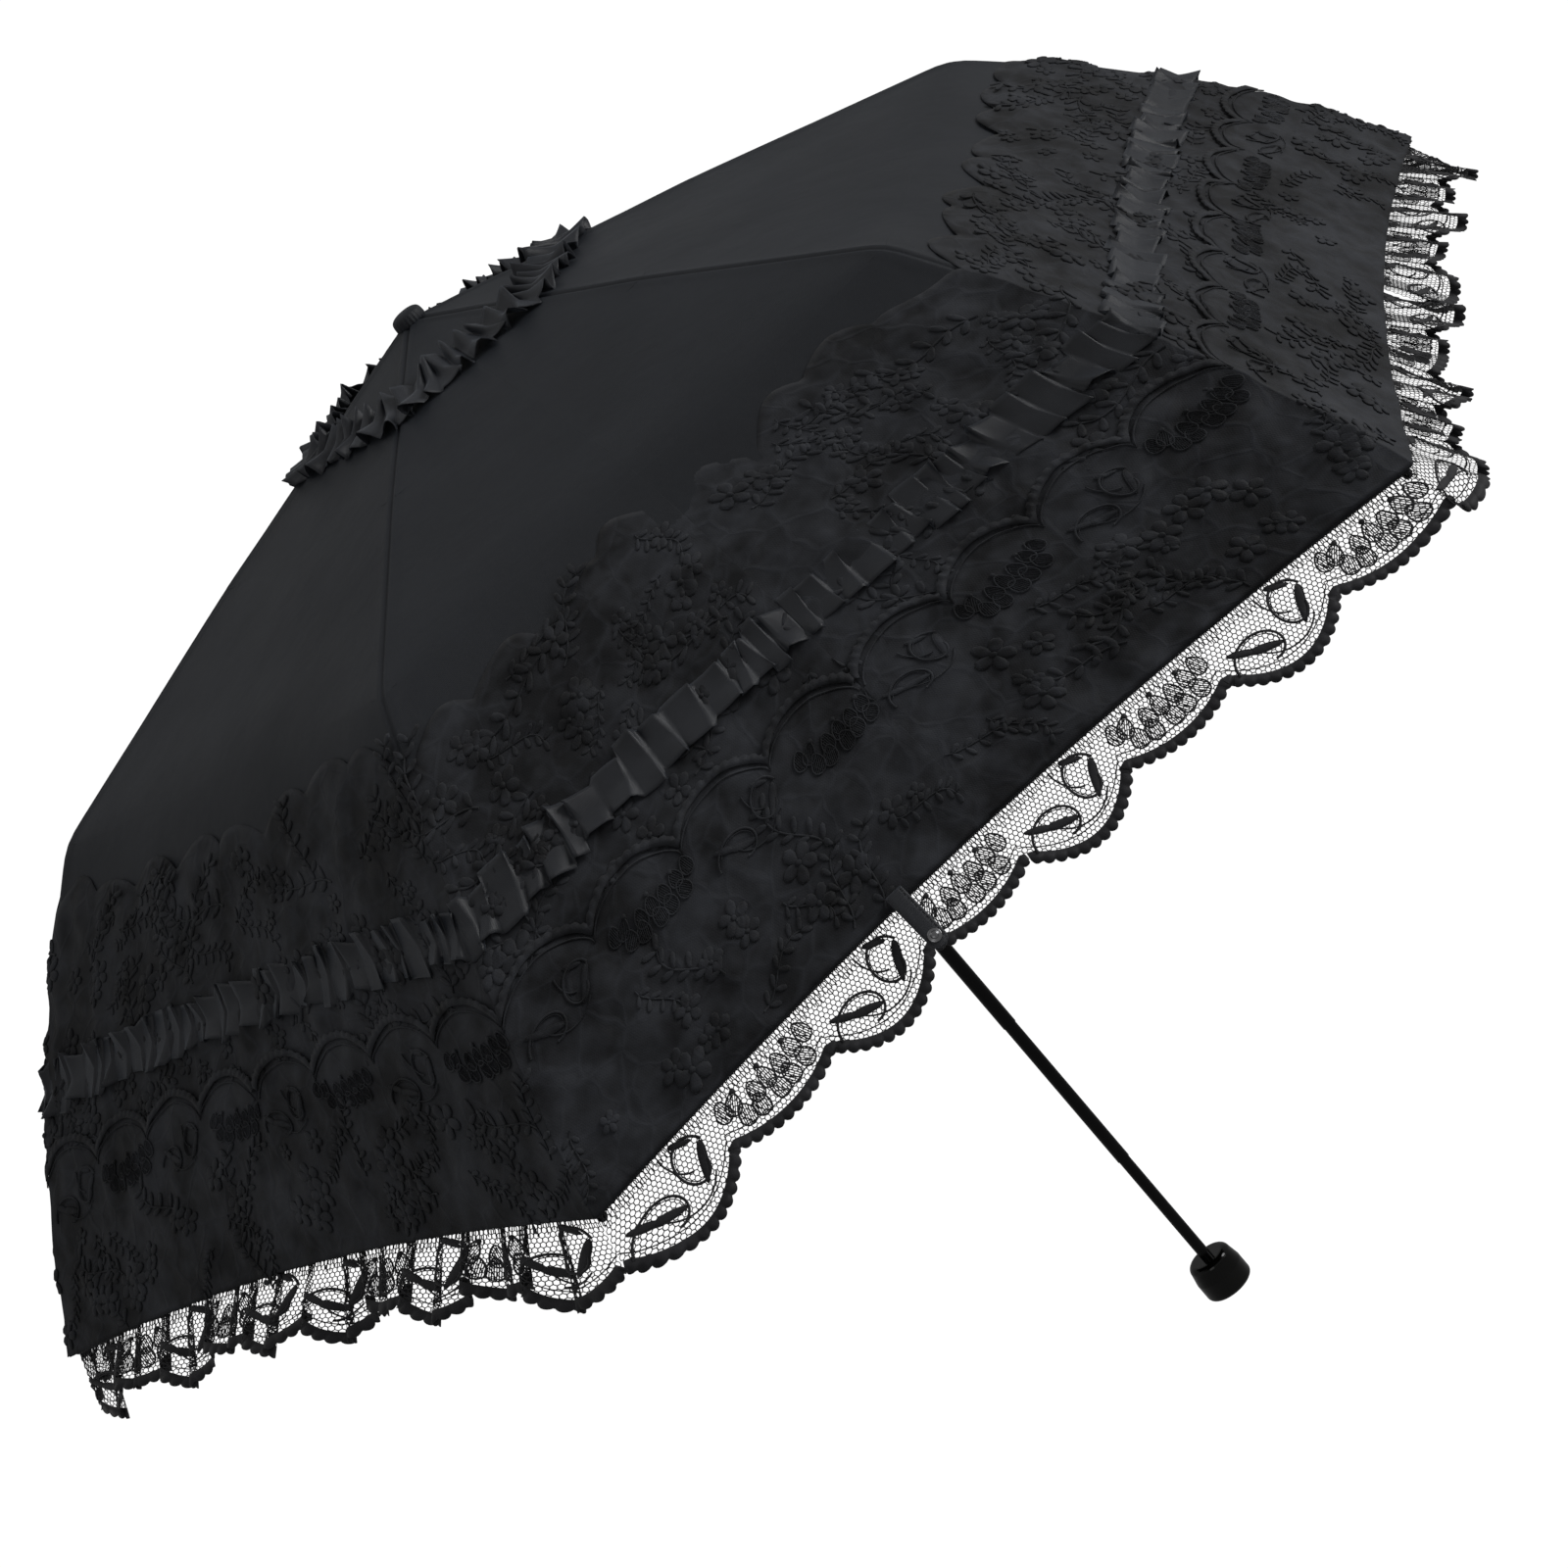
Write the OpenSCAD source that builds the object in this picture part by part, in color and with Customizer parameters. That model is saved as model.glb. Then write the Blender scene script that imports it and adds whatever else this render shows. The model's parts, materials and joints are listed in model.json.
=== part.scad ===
// Folding lace parasol with a six-rib, three-fold frame on a telescoping shaft.
// Millimetres, +Z up the shaft, origin at the middle of the knob's bottom face.
// The frame stands open; ribs are numbered anticlockwise from +X, 60 degrees apart.

/* [Knob] */
// Radius of the knob's straight band
knob_r = 13.4; // [11:0.1:17]
// Radius where the knob's taper ends, below its top edge
knob_neck_r = 12.2; // [10:0.1:16]
// Length of the knob
knob_len = 21; // [18:0.5:30]
// Height at which the straight band ends
band_top = 11; // [8:0.5:13]
// Radius of the plug that closes the knob's base
plug_r = 6; // [4:0.1:8]

/* [Shaft] */
// Outer radius of the thinnest tube, the one in the knob
tube_r = 3.05; // [2.6:0.05:3.6]
// Wall of every tube
tube_wall = 0.3; // [0.25:0.05:0.4]
// Gap all round between one tube and the next
tube_gap = 0.05; // [0.03:0.01:0.08]
// Stretch of each lower tube that shows below the next one
tube_shows = [70, 94, 200];
// Length that each tube keeps inside the next one
tube_lap = 20; // [12:1:25]
// Length of the top tube, from its lower end to the crown
mast_len = 252; // [250:1:300]

/* [Crown and runner] */
// Distance from the shaft's axis to the rib pivots
pivot_r = 10; // [9.5:0.1:12]
// Rim of the notched flanges beyond the rib pivots
flange_rim = 2.4; // [2:0.1:4]
// Wall of the crown's and the runner's hub round the top tube
hub_wall = 2.5; // [1.5:0.1:3]
// Thickness of the tie wire that the pivots turn on
wire_d = 1; // [0.8:0.05:1.2]
// Length of the runner's sleeve below its flange
sleeve_len = 24; // [18:1:32]
// Radius of the cloth-covered button on the crown
button_r = 8.5; // [7:0.1:10]

/* [Ribs] */
// Length of a top rib between its pivots
top_len = 142; // [138:1:150]
// Slope of a top rib below level, open
top_slope = 14.6; // [12:0.1:18]
// Length of a middle rib between its pivots
mid_len = 139; // [130:1:142]
// Slope of a middle rib below level, open
mid_slope = 16.5; // [14:0.1:20]
// Straight distance from an outer rib's pivot to its tip
outer_len = 240; // [200:1:245]
// Slope of that distance below level, open
outer_slope = 49.4; // [44:0.1:54]
// How far an outer rib bows out of straight
bow = 9; // [5:0.5:14]
// Place of the stretcher's pivot along the top rib
stay_at = 75; // [68:1:80]
// Length of a stretcher between its pivots
stay_len = 100; // [92:1:106]
// Depth of the pressed channels
channel_h = 3.2; // [2.6:0.1:3.4]
// Half width of a middle rib's blade
blade = 1; // [0.8:0.05:1.1]
// Thickness of the pressed sheet
sheet = 0.7; // [0.5:0.05:0.8]
// Radius of an outer rib's wire
rod_r = 1.1; // [0.9:0.05:1.2]
// Radius of the ball on a rib's tip
ball_r = 2.2; // [1.8:0.1:2.4]
// Thickness of the link wire beside a middle rib
link_d = 1; // [0.8:0.05:1.2]
// Radius of the rivets
rivet_r = 0.7; // [0.6:0.05:0.8]
// Play between pieces that turn past each other
play = 0.3; // [0.25:0.05:0.4]

/* [Canopy] */
// Gap from a rib's upper edge to the cloth's inner face
cloth_clear = 1.8; // [1.6:0.1:2.6]
// Thickness of the cloth and its lace together
cloth_t = 0.8; // [0.6:0.1:1.6]
// How far the rim is cut in between two ribs
edge_cut = 13; // [0:1:20]
// How far the cloth pulls in between two ribs
sag = 5; // [0:0.5:8]
// Drop of the lace frill beyond the rib tips
frill = 30; // [20:1:40]
// Slope of the frill below level
frill_slope = 58; // [50:1:75]
// Radius of the gathered ring on the crown cloth
ruffle_at = 91; // [80:1:100]
// Width of that ring
ruffle_w = 16; // [10:1:20]
// Height of that ring
ruffle_h = 5; // [3:0.5:7]
// Length of the closing strap below the rim
strap_len = 30; // [20:1:40]
// Width of the closing strap
strap_w = 8.5; // [7:0.5:12]
// Place of the closing strap, as a share of the way from its rib to the panel's middle
strap_place = 0.77; // [0.4:0.01:1]

/* [Hidden] */
$fn = 48;
ribs = 6;
half = 180 / ribs;

black_gloss = "#141416";
black_metal = "#1b1b1d";
steel = "#2a2a2c";
satin = "#2b2c2f";
lace = "#202123";

// Shaft: tube 0 is the thinnest. Each tube's outer radius, lower end and upper end.
step = tube_wall + tube_gap;
function tube_outer(i) = tube_r + i * step;
function tube_bottom(i) = i == 0 ? knob_len : tube_bottom(i - 1) + tube_shows[i - 1];
function tube_end(i) = i == 3 ? tube_bottom(3) + mast_len : tube_bottom(i + 1) + tube_lap;
socket_z = 6;
mast_r = tube_outer(3);
mast_top = tube_end(3);
hub_r = mast_r + hub_wall;
flange_r = pivot_r + flange_rim;
cloth_off = channel_h / 2 + cloth_clear;

// Crown: its pivot circle is one flange thickness above the end of the top tube.
flange_low = 3;
flange_high = channel_h / 2;
crown_z = mast_top + 1;
wire_gap = 0.08;
hub_len = 16;
post_r = 3;

// Widths across a rib, from its middle plane outwards.
cheek_in = blade + play;
cheek_out = cheek_in + sheet;
stay_in = cheek_out + play;
stay_out = stay_in + sheet;
link_at = stay_out + link_d / 2 - 0.4;

// Rib points in the plane of one rib: [distance from the shaft, height].
function along(a) = [cos(a), -sin(a)];
function above(a) = [sin(a), cos(a)];
C = [pivot_r, crown_z];
A = C + top_len * along(top_slope);
J = A + mid_len * along(mid_slope);
B = C + stay_at * along(top_slope);
D = [pivot_r, B[1] - sqrt(stay_len * stay_len - (B[0] - pivot_r) * (B[0] - pivot_r))];
T = J + outer_len * along(outer_slope);
arc_r = outer_len * outer_len / (8 * bow) + bow / 2;
arc_half = asin(outer_len / 2 / arc_r);

// Slope of an outer rib at a share f of its length, and its point there.
function arc_slope(f) = outer_slope + arc_half * (2 * f - 1);
arc_mid = (J + T) / 2 - (arc_r - bow) * above(outer_slope);
function arc_at(f) = arc_mid + arc_r * above(arc_slope(f));

// Cloth stations along a rib: [point on the rib, slope of the cloth there].
cloth_gap = 0.3;
bend = 9;
function rounded(p, q, r, u) = (1 - u) * (1 - u) * p + 2 * u * (1 - u) * q + u * u * r;
hole_s = -3.4;
inner_st = [for (s = [hole_s, 30, 60, 90, 118, top_len - cloth_gap / 2])
            [C + s * along(top_slope), top_slope]];
mid_st = concat([[A + cloth_gap / 2 * along(mid_slope), mid_slope]],
                [for (s = [35, 70, 105, mid_len - bend]) [A + s * along(mid_slope), mid_slope]],
                [[J - cloth_gap * along(mid_slope), (mid_slope + arc_slope(0)) / 2 - 4]]);
outer_st = concat([[J + cloth_gap * along(arc_slope(0)), (mid_slope + arc_slope(0)) / 2 + 4]],
                  [for (f = [0.05, 0.16, 0.3, 0.45, 0.6, 0.75, 0.88, 1])
                   [arc_at(f), arc_slope(f)]],
                  [[T + frill * along(frill_slope), frill_slope]]);

// Share of the rim's cut that reaches a station, by its distance from the shaft.
function rim_share(r) = pow(min(1, max(0, r / T[0])), 4);

// A cloth point over a rib: station st, height h over the rib, share a to the panel's middle.
function cloth_rz(st, h, a) =
    let (p = st[0] + h * above(st[1]),
         w = rim_share(st[0][0]) * a * (2 - a))
    p - w * edge_cut * along(st[1]) - w * sag * above(st[1]);
function cloth_pt(st, h, a) =
    let (p = cloth_rz(st, h, a),
         r = p[0] * cos(half) / cos(half - half * a),
         g = a * cloth_gap / 2)
    [r * cos(half * a) + g * sin(half), r * sin(half * a) - g * cos(half), p[1]];

// One half-panel: a closed sheet over the stations, from the rib seam to the panel's middle.
module half_panel(stations, low, high, steps = 5) {
    n = len(stations);
    m = steps + 1;
    layer = n * m;
    pts = concat([for (st = stations) for (j = [0:steps]) cloth_pt(st, low, j / steps)],
                 [for (st = stations) for (j = [0:steps]) cloth_pt(st, high, j / steps)]);
    skin = [for (i = [0:n - 2]) for (j = [0:steps - 1]) let (q = i * m + j)
            each [[q, q + m, q + m + 1], [q, q + m + 1, q + 1]]];
    lid = [for (f = skin) [f[2] + layer, f[1] + layer, f[0] + layer]];
    loop = concat([for (j = [0:steps - 1]) j],
                  [for (i = [0:n - 2]) i * m + steps],
                  [for (j = [steps:-1:1]) (n - 1) * m + j],
                  [for (i = [n - 1:-1:1]) i * m]);
    wall = [for (i = [0:len(loop) - 1]) let (p = loop[i], q = loop[(i + 1) % len(loop)])
            each [[p, q, q + layer], [p, q + layer, p + layer]]];
    polyhedron(points = pts, faces = concat(skin, lid, wall), convexity = 4);
}

module both_halves(stations, low, high) {
    half_panel(stations, low, high);
    mirror([0, 1, 0]) half_panel(stations, low, high);
}

// Puts a drawing made in a rib's own plane onto rib k.
module on_rib(k) {
    rotate([0, 0, 360 / ribs * (k - 1)]) children();
}

module upright() {
    rotate([90, 0, 0]) children();
}

// A flat bar from p to q with round ends, between two widths on both sides of the rib.
module bar(p, q, h) {
    d = q - p;
    translate(p) rotate(atan2(d[1], d[0])) translate([0, -h / 2]) square([norm(d), h]);
    translate(p) circle(d = h);
    translate(q) circle(d = h);
}

module cheeks(p, q, h, near, far, holes) {
    for (side = [0, 1]) mirror([0, side, 0]) translate([0, far, 0]) upright()
        linear_extrude(height = far - near) difference() {
            bar(p, q, h);
            for (hole = holes) translate(hole[0]) circle(r = hole[1], $fn = 32);
        }
}

// A thin web along a bar, at height y over its middle line.
module web(p, q, y, t, w) {
    d = q - p;
    translate([0, w, 0]) upright() linear_extrude(height = 2 * w)
        translate(p) rotate(atan2(d[1], d[0])) translate([0, y]) square([norm(d), t]);
}

module pin(p, r, w) {
    translate([p[0], 0, p[1]]) rotate([90, 0, 0]) cylinder(r = r, h = 2 * w, center = true);
}

eye = wire_d / 2 + wire_gap;
bore = rivet_r + wire_gap;
web_stop = 44;
head_r = 1.2;

module top_rib(k) {
    color(black_metal) on_rib(k) {
        cheeks(C, A, channel_h, cheek_in, cheek_out, [[C, eye]]);
        web(C + 6 * along(top_slope), A - web_stop * along(top_slope),
            channel_h / 2 - sheet, sheet, cheek_in + 0.1);
        pin(A, rivet_r, cheek_out + 0.1);
        for (side = [-1, 1]) translate([B[0], side * (cheek_out + 0.05), B[1]])
            rotate([90, 0, 0]) cylinder(r = head_r, h = 0.2, center = true);
    }
}

module stretcher(k) {
    dir = (B - D) / norm(B - D);
    color(black_metal) on_rib(k) {
        cheeks(D, B, channel_h, stay_in, stay_out, [[D, eye], [B, bore]]);
        web(D + 8 * dir, B - web_stop * dir, -channel_h / 2, sheet, stay_in + 0.1);
    }
}

module middle_rib(k) {
    wire_in = 7 * along(mid_slope);
    color(black_metal) on_rib(k) {
        translate([0, blade, 0]) upright() linear_extrude(height = 2 * blade) difference() {
            bar(A, J, 2 * blade + 0.4);
            translate(A) circle(r = bore, $fn = 32);
        }
        pin(J, rivet_r, cheek_out + 0.1);
    }
    color(steel) on_rib(k) {
        translate([A[0] + wire_in[0], link_at, A[1] + wire_in[1]])
            rotate([0, 90 + mid_slope, 0]) cylinder(d = link_d, h = mid_len - 14);
    }
}

fork_len = 24;
fork_web = 6;

module outer_rib(k) {
    start = arc_slope(0);
    fork_end = J + fork_len * along(start);
    f0 = (fork_len - fork_web / 2) / outer_len;
    sweep = 2 * arc_half * (1 - f0);
    color(steel) on_rib(k) {
        cheeks(J, fork_end, channel_h - 0.2, cheek_in, cheek_out, [[J, bore]]);
        web(fork_end - fork_web * along(start), fork_end, -channel_h / 2 + 0.3,
            channel_h - 0.6, cheek_in + 0.1);
        upright() translate(arc_mid) rotate(90 - arc_slope(1))
            rotate_extrude(angle = sweep) translate([arc_r, 0]) circle(r = rod_r, $fn = 24);
        translate([T[0], 0, T[1]]) sphere(r = ball_r, $fn = 32);
    }
}

module canopy_inner(k) {
    color(satin) on_rib(k) both_halves(inner_st, cloth_off, cloth_off + cloth_t);
    ring = [for (s = [-ruffle_w / 2, 0, ruffle_w / 2])
            [C + (ruffle_at - pivot_r + s) / cos(top_slope) * along(top_slope), top_slope]];
    color(lace) on_rib(k)
        both_halves(ring, cloth_off + cloth_t + 0.2, cloth_off + cloth_t + ruffle_h);
}

module canopy_middle(k) {
    color(satin) on_rib(k) both_halves(mid_st, cloth_off, cloth_off + cloth_t);
}

module canopy_outer(k) {
    color(lace) on_rib(k) both_halves(outer_st, cloth_off, cloth_off + cloth_t);
}

// Points of a quarter circle of radius r about c, from angle a0 to angle a1.
function corner(c, r, a0, a1) = [for (i = [0:6]) c + r * [cos(a0 + (a1 - a0) * i / 6),
                                                         sin(a0 + (a1 - a0) * i / 6)]];

module knob() {
    base_round = 2.5;
    top_round = 3.5;
    plug_t = 1.5;
    color(black_gloss) difference() {
        rotate_extrude($fn = 96) polygon(concat(
            [[0, 0]],
            corner([knob_r - base_round, base_round], base_round, -90, 0),
            [[knob_r, band_top]],
            corner([knob_neck_r - top_round, knob_len - top_round], top_round, 0, 90),
            [[0, knob_len]]));
        translate([0, 0, socket_z]) cylinder(r = tube_r, h = knob_len);
        translate([0, 0, -1]) cylinder(r = plug_r + tube_gap, h = plug_t + 1);
    }
}

module knob_plug() {
    color(black_gloss) cylinder(r = plug_r, h = 1.5);
}

module tube(i) {
    low = i == 0 ? socket_z : tube_bottom(i);
    color(black_metal) translate([0, 0, low]) difference() {
        cylinder(r = tube_outer(i), h = tube_end(i) - low);
        translate([0, 0, -1]) cylinder(r = tube_outer(i) - tube_wall, h = tube_end(i) - low + 2);
    }
}

// Slot in the top tube's wall for the latch leaf.
latch_w = 2.4;
latch_len = 14;
latch_top = D[1] - flange_low - sleeve_len - 0.4;

module latch_slot() {
    translate([0, -latch_w / 2 - 0.2, latch_top - latch_len - 0.3])
        cube([mast_r + 1, latch_w + 0.4, latch_len + 0.6]);
}

module tube_top() {
    color(black_metal) difference() {
        tube(3);
        latch_slot();
    }
}

module runner_latch() {
    proud = 1.3;
    foot = mast_r - tube_wall;
    color(steel) translate([0, latch_w / 2, latch_top]) rotate([90, 0, 0])
        linear_extrude(height = latch_w)
            polygon([[foot, -latch_len], [foot + tube_wall, -latch_len],
                     [foot + proud, -1], [foot + proud, 0], [foot, 0]]);
}

// Six straight runs of wire round the shaft, one across each notch.
module wire_ring(z, r) {
    for (k = [1:ribs]) on_rib(k) translate([pivot_r, 0, z]) {
        rotate([90, 0, 0]) cylinder(r = r, h = 2 * pivot_r * tan(half), center = true, $fn = 24);
        translate([0, pivot_r * tan(half), 0]) sphere(r = r + wire_gap / 2, $fn = 24);
    }
}

// Groove that the wire is laid into from above, with the same play all round.
module wire_groove(z) {
    w = wire_d / 2 + wire_gap;
    for (k = [1:ribs]) on_rib(k)
        translate([pivot_r - w, -(pivot_r + w) * tan(half), z - w])
            cube([2 * w, 2 * (pivot_r + w) * tan(half), flange_high + 2 * w]);
}

// Notched flange with one slot per rib, half as wide as w on each side.
module notched(z, w) {
    difference() {
        translate([0, 0, z - flange_low]) cylinder(r = flange_r, h = flange_low + flange_high);
        for (k = [1:ribs]) on_rib(k) translate([hub_r, -w, z - 50]) cube([50, 2 * w, 100]);
        wire_groove(z);
    }
}

module crown() {
    color(black_gloss) difference() {
        union() {
            notched(crown_z, cheek_out + play);
            translate([0, 0, crown_z - hub_len]) cylinder(r = hub_r, h = hub_len + flange_high);
            translate([0, 0, crown_z]) cylinder(r = post_r, h = 8);
        }
        translate([0, 0, crown_z - 1 - mast_len]) cylinder(r = mast_r, h = mast_len);
    }
}

module crown_wire() {
    color(steel) wire_ring(crown_z, wire_d / 2);
}

module crown_button() {
    seat = crown_z + 6.4;
    color(lace) translate([0, 0, seat]) difference() {
        rotate_extrude() polygon(concat([[0, 0]], [[button_r - 2, 0]],
            corner([button_r - 2, 2], 2, -90, 60), [[4, 5], [0, 5.5]]));
        translate([0, 0, -1]) cylinder(r = post_r, h = 1 + crown_z + 8 - seat);
    }
}

module runner() {
    low = D[1] - flange_low - sleeve_len;
    color(black_gloss) difference() {
        union() {
            notched(D[1], stay_out + play);
            translate([0, 0, low]) cylinder(r = hub_r - 0.6, h = sleeve_len + flange_low);
            translate([0, 0, D[1] - flange_low]) cylinder(r = hub_r, h = flange_low + flange_high);
            translate([0, 0, low]) cylinder(r = hub_r + 1.6, h = 3);
        }
        translate([0, 0, low - 1]) cylinder(r = mast_r + tube_gap, h = sleeve_len + 20);
    }
}

module runner_wire() {
    color(steel) wire_ring(D[1], wire_d / 2);
}

// Closing strap, on the panel between ribs 5 and 6, in front of the frill.
strap_rib = 5;
strap_t = 1;
module at_strap() {
    st = outer_st[8];
    p = cloth_rz(st, cloth_off + cloth_t, strap_place);
    from_middle = (1 - strap_place) * p[0] * sin(half);
    rotate([0, 0, 360 / ribs * (strap_rib - 1) + half])
        translate([p[0] * cos(half), -from_middle, p[1]]) rotate([0, 90 + frill_slope - 90, 0])
            translate([0, 0, ruffle_h]) children();
}

module tie_strap() {
    color(satin) at_strap() translate([-3, -strap_w / 2, 0]) cube([strap_len, strap_w, strap_t]);
}

module press_stud() {
    color("#c9c9cc") at_strap() translate([strap_len - 9, 0, strap_t]) {
        cylinder(r = 3, h = 0.6);
        translate([0, 0, 0.6]) cylinder(r = 1.6, h = 1);
    }
}

knob();
knob_plug();
tube(0);  // tube_inner
tube(1);  // tube_lower
tube(2);  // tube_middle
tube_top();
crown();
crown_wire();
crown_button();
runner();
runner_wire();
runner_latch();
tie_strap();
press_stud();
for (k = [1:ribs]) {
    top_rib(k);
    stretcher(k);
    middle_rib(k);
    outer_rib(k);
    canopy_inner(k);
    canopy_middle(k);
    canopy_outer(k);
}
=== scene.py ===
# %% [markdown]
# # Lace parasol
# A folding parasol is cloth pulled tight over ribs, with lace, ribbon and frills sewn on top. The metal
# frame, the shaft and the knob come from the CAD model and stay where they are. This lesson dresses them:
# each soft layer is first laid out flat, as on a sewing table, and is then wrapped onto the canopy.

# %% Load the frame
import json
import math

import bpy
import numpy as np
from mathutils import Matrix, Vector


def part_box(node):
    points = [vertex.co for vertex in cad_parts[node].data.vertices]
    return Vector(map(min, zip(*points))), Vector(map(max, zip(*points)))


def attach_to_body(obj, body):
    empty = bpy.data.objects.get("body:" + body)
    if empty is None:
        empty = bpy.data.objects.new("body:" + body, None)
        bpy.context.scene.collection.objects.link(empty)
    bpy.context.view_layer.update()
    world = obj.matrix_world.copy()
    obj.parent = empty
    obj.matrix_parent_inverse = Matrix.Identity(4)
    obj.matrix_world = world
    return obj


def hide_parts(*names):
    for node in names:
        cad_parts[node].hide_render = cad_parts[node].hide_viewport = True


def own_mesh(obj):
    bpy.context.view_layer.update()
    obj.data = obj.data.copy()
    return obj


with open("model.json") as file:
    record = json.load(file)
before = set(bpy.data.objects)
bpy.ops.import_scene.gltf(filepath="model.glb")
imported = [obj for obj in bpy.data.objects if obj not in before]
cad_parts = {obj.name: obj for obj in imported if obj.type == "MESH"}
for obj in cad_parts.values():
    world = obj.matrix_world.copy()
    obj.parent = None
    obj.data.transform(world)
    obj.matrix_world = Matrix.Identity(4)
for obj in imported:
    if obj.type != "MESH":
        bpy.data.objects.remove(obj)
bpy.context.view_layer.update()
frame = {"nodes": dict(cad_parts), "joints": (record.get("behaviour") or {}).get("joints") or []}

joints = {j["name"]: j for j in frame["joints"]}

# %% [markdown]
# ## The rib line
# The canopy's shape follows one rule: it is the rib's line, copied round six ribs, with straight cloth
# between them. The rib's pivots are the joints of the frame, so the line is read from there and nothing is
# fitted by eye. The outer rib is bowed, so it is an arc through its pivot and its tip.

# %% Rib line from the frame's joints
RIBS = 6
HALF = math.pi / RIBS
BALL_R = 0.0022
BOW = 0.009
CLOTH_OFF = 0.0042
EDGE_CUT = 0.013
SAG = 0.005


def flat_point(p):
    return np.array([math.hypot(p[0], p[1]), p[2]])


crown_pivot = flat_point(joints["fold"]["pos_m"])
knee_a = flat_point(joints["middle_hinge_1"]["pos_m"])
knee_b = flat_point(joints["outer_hinge_1"]["pos_m"])
tip_low, tip_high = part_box("outer_rib_1")
tip = np.array([tip_high.x - BALL_R, tip_low.z + BALL_R])


def bowed(p, q, rise, share):
    """Point at a share of the arc from p to q that stands rise above the straight line."""
    d = q - p
    length = np.linalg.norm(d)
    across = np.array([-d[1], d[0]]) / length
    return p + d * share[:, None] + across * (4 * rise * share * (1 - share))[:, None]


STEP = 0.0005
START = -0.0045


def rib_line():
    """Dense points along the rib from near the crown to a little past the tip, a fixed step apart."""
    raw = np.vstack([
        crown_pivot + (knee_a - crown_pivot) / np.linalg.norm(knee_a - crown_pivot) * 2 * START,
        crown_pivot[None], knee_a[None], bowed(knee_b, tip, BOW, np.linspace(0, 1, 80)),
    ])
    end = raw[-1] - raw[-2]
    raw = np.vstack([raw, tip + end / np.linalg.norm(end) * 0.03])
    s = np.concatenate([[0], np.cumsum(np.linalg.norm(np.diff(raw, axis=0), axis=1))]) + 2 * START
    at = np.arange(s[0], s[-1], STEP)
    dense = np.stack([np.interp(at, s, raw[:, i]) for i in (0, 1)], 1)
    return at, dense


def softened(values, reach):
    """Rounds corners with a smooth window that reaches this many metres each way."""
    n = int(reach / STEP)
    window = np.hanning(2 * n + 1)
    window /= window.sum()
    padded = np.concatenate([values[:1] * 2 - values[n:0:-1], values, values[-1:] * 2 - values[-2:-n - 2:-1]])
    return np.convolve(padded, window, mode="valid")


def with_directions(points):
    """Columns r, z, then the line's direction and the direction that points away from the shaft's foot."""
    t = np.gradient(points, STEP, axis=0)
    t /= np.linalg.norm(t, axis=1, keepdims=True)
    return np.column_stack([points, t, -t[:, 1], t[:, 0]])


rib_s, raw_line = rib_line()
LINE_AT_RIB = with_directions(np.stack([softened(raw_line[:, i], 0.014) for i in (0, 1)], 1))
LINE_MID_PANEL = with_directions(np.stack([softened(raw_line[:, i], 0.055) for i in (0, 1)], 1))
rib_p = LINE_AT_RIB[:, :2]
S_A = float(np.linalg.norm(knee_a - crown_pivot))
S_B = S_A + float(np.linalg.norm(knee_b - knee_a))
S_TIP = float(rib_s[np.argmin(np.linalg.norm(rib_p - tip, axis=1))])
print(f"rib line: knees at {S_A:.3f} and {S_B:.3f} m, tip at {S_TIP:.3f} m, r {tip[0]:.3f} m")

# %% [markdown]
# ## From flat cloth to canopy
# Every layer is a flat pattern with two coordinates: s runs down the rib from the crown, and u runs across
# one sixth of the canopy, from -1 at the middle of one panel, through 0 on the rib's seam, to 1 at the
# middle of the next panel. One function turns (s, u, height over the rib) into a place in space. Between
# two ribs cloth is straight from rib to rib, pulled in a little towards the rim, and away from the ribs it
# bends more softly at the knees.

# %% The wrapping function


def on_canopy(s, u, h, k=1):
    """Places in space for rib distance s, share u across sector k and height h over the rib."""
    s, u, h = np.broadcast_arrays(np.asarray(s, float), np.asarray(u, float), np.asarray(h, float))
    a = np.abs(u)
    soft = np.clip(2 * a, 0, 1)
    soft = soft * soft * (3 - 2 * soft)
    near = [np.interp(s, rib_s, LINE_AT_RIB[:, i]) for i in range(6)]
    mid = [np.interp(s, rib_s, LINE_MID_PANEL[:, i]) for i in range(6)]
    pr, pz, tr, tz, nr, nz = (q + soft * (m - q) for q, m in zip(near, mid))
    w = np.clip(pr / tip[0], 0, 1.05) ** 4 * a * (2 - a)
    r = pr + h * nr - w * (EDGE_CUT * tr + SAG * nr)
    z = pz + h * nz - w * (EDGE_CUT * tz + SAG * nz)
    turn = HALF - np.arctan((1 - a) * math.tan(HALF))
    r = r * math.cos(HALF) / np.cos(HALF - turn)
    az = np.sign(u) * turn + (k - 1) * 2 * HALF
    return np.stack([r * np.cos(az), r * np.sin(az), z], -1)


def radius_at(s):
    return float(np.interp(s, rib_s, rib_p[:, 0]))


def s_where(radius):
    """Rib distance at which the rib line is this far from the shaft."""
    return float(np.interp(radius, rib_p[:, 0], rib_s))


print("radius at the knees and the tip", [round(radius_at(s), 4) for s in (S_A, S_B, S_TIP)])

# %% Small mesh helpers
def mesh_object(name, verts, faces, uv=None):
    mesh = bpy.data.meshes.new(name)
    mesh.from_pydata(np.asarray(verts, float).reshape(-1, 3).tolist(), [], [list(f) for f in faces])
    if uv is not None:
        layer = mesh.uv_layers.new(name="UVMap")
        corner = np.zeros(len(mesh.loops), int)
        mesh.loops.foreach_get("vertex_index", corner)
        layer.data.foreach_set("uv", np.asarray(uv, float)[corner].ravel())
    mesh.polygons.foreach_set("use_smooth", [True] * len(mesh.polygons))
    mesh.update()
    obj = bpy.data.objects.new(name, mesh)
    bpy.context.scene.collection.objects.link(obj)
    return obj


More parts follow.
